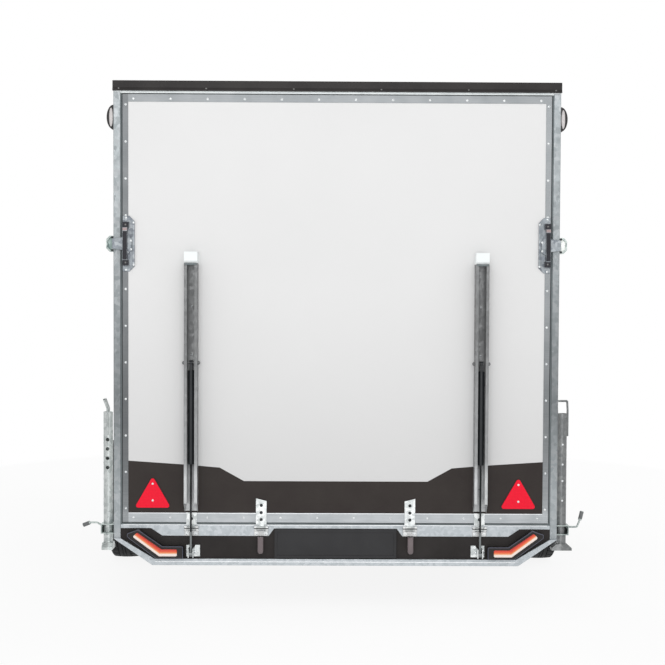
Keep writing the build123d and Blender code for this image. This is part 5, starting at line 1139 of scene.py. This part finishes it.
# The shoulder's blocks are parted at every fifth step, from here to here and above this radius.
CUT_EVERY = 5
CUT_FROM, CUT_TO, CUT_ABOVE = 30, 73, 285
SHOULDER_FROM = 66
TREAD_CUT, SHOULDER_CUT = 5.5, 3.5
SHARPER_THAN = 32


def tyre_outline(half, radius):
    """The tyre's closed section, from one bead over the tread to the other, in millimetres."""
    belly = [(half, 238), (half - 0.4, 248), (half - 0.6, 250), (half - 1.8, 252)]
    wall = [*INNER_WALL, *belly, *OUTER_WALL]
    tread = []
    for low, high in RIBS[::-1]:
        tread += [(high, radius), (high - RIB_EASE, radius), (low + RIB_EASE, radius), (low, radius)]
        floor = radius - GROOVE_DEPTH
        tread += [(low - GROOVE_SLOPE, floor), (low - GROOVE_WIDTH + GROOVE_SLOPE, floor)]
    crown = [(x, r - CROWN_FALL * x * x) for x, r in tread[:-2]]
    return wall + crown + [(-x, r) for x, r in wall[::-1]]


def road_tyre(place, name):
    """A road tyre: bellied sidewalls with raised rings, and a tread of ribs cut into blocks."""
    low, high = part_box(f"tyre_{place}_{name}")
    centre = (low + high) / 2
    outline = tyre_outline((high.x - low.x) / 2 / MM, (high.z - low.z) / 2 / MM)
    shape = bmesh.new()
    rings = []
    for i in range(TREAD_STEPS):
        angle = 2 * math.pi * i / TREAD_STEPS
        ring = []
        for x, r in outline:
            if i % CUT_EVERY == 0 and CUT_FROM < abs(x) < CUT_TO and r > CUT_ABOVE:
                r -= TREAD_CUT if abs(x) < SHOULDER_FROM else SHOULDER_CUT
            reach = r * MM
            out = Vector((x * MM, reach * math.cos(angle), reach * math.sin(angle)))
            ring.append(shape.verts.new(centre + out))
        rings.append(ring)
    for near, far in zip(rings, rings[1:] + rings[:1]):
        for j in range(len(outline)):
            k = (j + 1) % len(outline)
            shape.faces.new((near[j], near[k], far[k], far[j]))
    tyre, wheel = f"road_tyre_{place}_{name}", f"wheel_{place}_{name}"
    piece = from_shape(tyre, shape, TYRE_RUBBER, wheel, smooth=True)
    piece.data.set_sharp_from_angle(angle=math.radians(SHARPER_THAN))
    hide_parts(f"tyre_{place}_{name}")


NUTS_PER_WHEEL = 5
NUT_CIRCLE_RADIUS = 56 * MM
HUB_FACE = 28 * MM
# The hub cap's side, as millimetres out from the hub's face and radius.
HUB_CAP = ((0, 0), (0, 33.5), (0, 35), (14, 35), (22, 33.4), (25.5, 31), (27.5, 26), (28.5, 14), (28.8, 0))
HUB_CAP_STEPS = 48
VALVE_RADIUS = 4.2 * MM


def wheel_fittings(place, name, side):
    """Wheel nuts over the hub bolts, a pressed hub cap and a valve."""
    low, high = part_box(f"rim_{place}_{name}")
    tyre_low, tyre_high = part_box(f"tyre_{place}_{name}")
    centre = (low + high) / 2
    centre.x = (tyre_low.x + tyre_high.x) / 2
    facing = (side, 0, 0)
    hub = Vector((side * HUB_FACE, 0, 0))
    seats = []
    for i in range(NUTS_PER_WHEEL):
        angle = 2 * math.pi * i / NUTS_PER_WHEEL
        out = Vector((0, math.sin(angle), math.cos(angle))) * NUT_CIRCLE_RADIUS
        seats.append(centre + out + hub)
    body = f"wheel_{place}_{name}"
    fasteners(f"wheel_nuts_{place}_{name}", body, seats, BRIGHT_BOLT, WHEEL_NUT, facing, NUTS)
    cap = bmesh.new()
    outline = [(out * MM, radius * MM) for out, radius in HUB_CAP]
    turned(cap, outline, centre + hub, facing, HUB_CAP_STEPS)
    from_shape(f"hub_cap_{place}_{name}", cap, DARK_GRIP, body, smooth=True)
    valve = bmesh.new()
    foot = centre + Vector((side * 40 * MM, 0, 138 * MM))
    tip = foot + Vector((side * 24 * MM, 0, -7 * MM))
    rod(valve, foot, tip, VALVE_RADIUS)
    from_shape(f"valve_{place}_{name}", valve, RUBBER, body)


for place in ("rear", "front"):
    for name, side in SIDES.items():
        road_tyre(place, name)
        wheel_fittings(place, name, side)

# ---------------------------------------------------------------- floor, light and camera
# The share of the trailer's shadow that shows on the floor, and the oval where it has faded to
# white: one over its half sizes in metres, and how far out the fading starts.
FLOOR_SHADOW = 0.11
FLOOR_OVAL = (0.26, 0.2, 1)
FADE_STARTS = 0.55
FLOOR_HALF_SIZE = 60


def seen_directly(tree):
    """One for what the eye, a mirror or clear plastic sees, and nought for light on the trailer."""
    path = node(tree, "ShaderNodeLightPath")
    eye = {0: (path, "Is Camera Ray"), 1: (path, "Is Glossy Ray")}
    mirrored_too = node(tree, "ShaderNodeMath", eye, operation="MAXIMUM")
    clear = {0: (mirrored_too, "Value"), 1: (path, "Is Transmission Ray")}
    return node(tree, "ShaderNodeMath", clear, operation="MAXIMUM"), "Value"


def studio_floor():
    """A plain pale floor that keeps the trailer's shadow and runs into the white behind."""
    material = bpy.data.materials.new("pale studio floor")
    material.use_nodes = True
    tree = material.node_tree
    tree.nodes.clear()
    place = node(tree, "ShaderNodeTexCoord")
    squeezed = node(tree, "ShaderNodeMapping", {"Vector": (place, "Object"), "Scale": FLOOR_OVAL})
    away = node(tree, "ShaderNodeVectorMath", {0: (squeezed, "Vector")}, operation="LENGTH")
    ends = {"Value": (away, "Value"), **span(FADE_STARTS, 1.0)}
    fade = node(tree, "ShaderNodeMapRange", ends, clamp=True)
    unshaded = {0: seen_directly(tree), 1: 1 - FLOOR_SHADOW}
    white = node(tree, "ShaderNodeMath", unshaded, operation="MULTIPLY")
    whiter = {0: (white, "Value"), 1: (fade, "Result")}
    share = node(tree, "ShaderNodeMath", whiter, operation="MAXIMUM")
    matt = node(tree, "ShaderNodeBsdfDiffuse", {"Color": linear("#FFFFFF")})
    glow = node(tree, "ShaderNodeEmission", {"Color": linear("#FFFFFF"), "Strength": 1})
    both = {"Fac": (share, "Value"), 1: (matt, "BSDF"), 2: (glow, "Emission")}
    mix = node(tree, "ShaderNodeMixShader", both)
    node(tree, "ShaderNodeOutputMaterial", {"Surface": (mix, "Shader")})
    shape = bmesh.new()
    bmesh.ops.create_grid(shape, x_segments=4, y_segments=4, size=FLOOR_HALF_SIZE)
    mesh = bpy.data.meshes.new("studio_floor")
    shape.to_mesh(mesh)
    shape.free()
    mesh.materials.append(material)
    floor = bpy.data.objects.new("studio_floor", mesh)
    bpy.context.scene.collection.objects.link(floor)


studio_floor()

# The world's strength as a light on the trailer, and as what the eye and mirrors see.
FILL_LIGHT, WHITE_BACKDROP = 0.62, 1.0
# Each lamp's name, place, size across in metres and watts.
LAMPS = (
    ("key", (-0.2, -9.5, 3.0), 6, 160),
    ("side", (8, 1, 6), 6, 150),
    ("front", (-2, 10, 6), 6, 150),
)


def studio_light():
    """White all round for the eye and for mirrors, an even fill, and a large soft lamp on three sides."""
    world = bpy.data.worlds.new("white studio")
    world.use_nodes = True
    tree = world.node_tree
    tree.nodes.clear()
    ends = {"Value": seen_directly(tree), **span(0, 1, FILL_LIGHT, WHITE_BACKDROP)}
    level = node(tree, "ShaderNodeMapRange", ends, clamp=True)
    white = {"Color": linear("#FFFFFF"), "Strength": (level, "Result")}
    back = node(tree, "ShaderNodeBackground", white)
    node(tree, "ShaderNodeOutputWorld", {"Surface": (back, "Background")})
    bpy.context.scene.world = world
    middle = (cad_low + cad_high) / 2
    for name, place, size, power in LAMPS:
        light = bpy.data.lights.new(name, "AREA")
        light.shape = "DISK"
        light.size = size
        light.energy = power
        lamp = bpy.data.objects.new(name, light)
        lamp.location = place
        lamp.rotation_euler = (middle - Vector(place)).to_track_quat("-Z", "Y").to_euler()
        bpy.context.scene.collection.objects.link(lamp)


studio_light()

# Metres from the rear face, from the middle and from the ground; degrees; and the lens in mm.
CAMERA_BEHIND = 6.812
CAMERA_ACROSS = -0.0716
CAMERA_HEIGHT = 1.429
CAMERA_PITCH = -2.1847
CAMERA_YAW = -0.4527
CAMERA_ROLL = 0.2667
CAMERA_LENS = 78.95
CAMERA_RISE = 0.0399


def rear_camera():
    """A long lens square on to the rear face, at chest height and tipped slightly down."""
    data = bpy.data.cameras.new("rear view")
    data.lens = CAMERA_LENS
    data.sensor_width = 36
    data.shift_y = CAMERA_RISE
    data.clip_end = 200
    camera = bpy.data.objects.new("rear view", data)
    turn = Matrix.Rotation(math.radians(CAMERA_YAW), 4, "Z")
    turn = turn @ Matrix.Rotation(math.radians(90 + CAMERA_PITCH), 4, "X")
    turn = turn @ Matrix.Rotation(math.radians(CAMERA_ROLL), 4, "Z")
    place = Matrix.Translation((CAMERA_ACROSS, rear_face - CAMERA_BEHIND, CAMERA_HEIGHT))
    camera.matrix_world = place @ turn
    bpy.context.scene.collection.objects.link(camera)
    bpy.context.scene.camera = camera


rear_camera()
bpy.context.scene.view_settings.view_transform = "Standard"
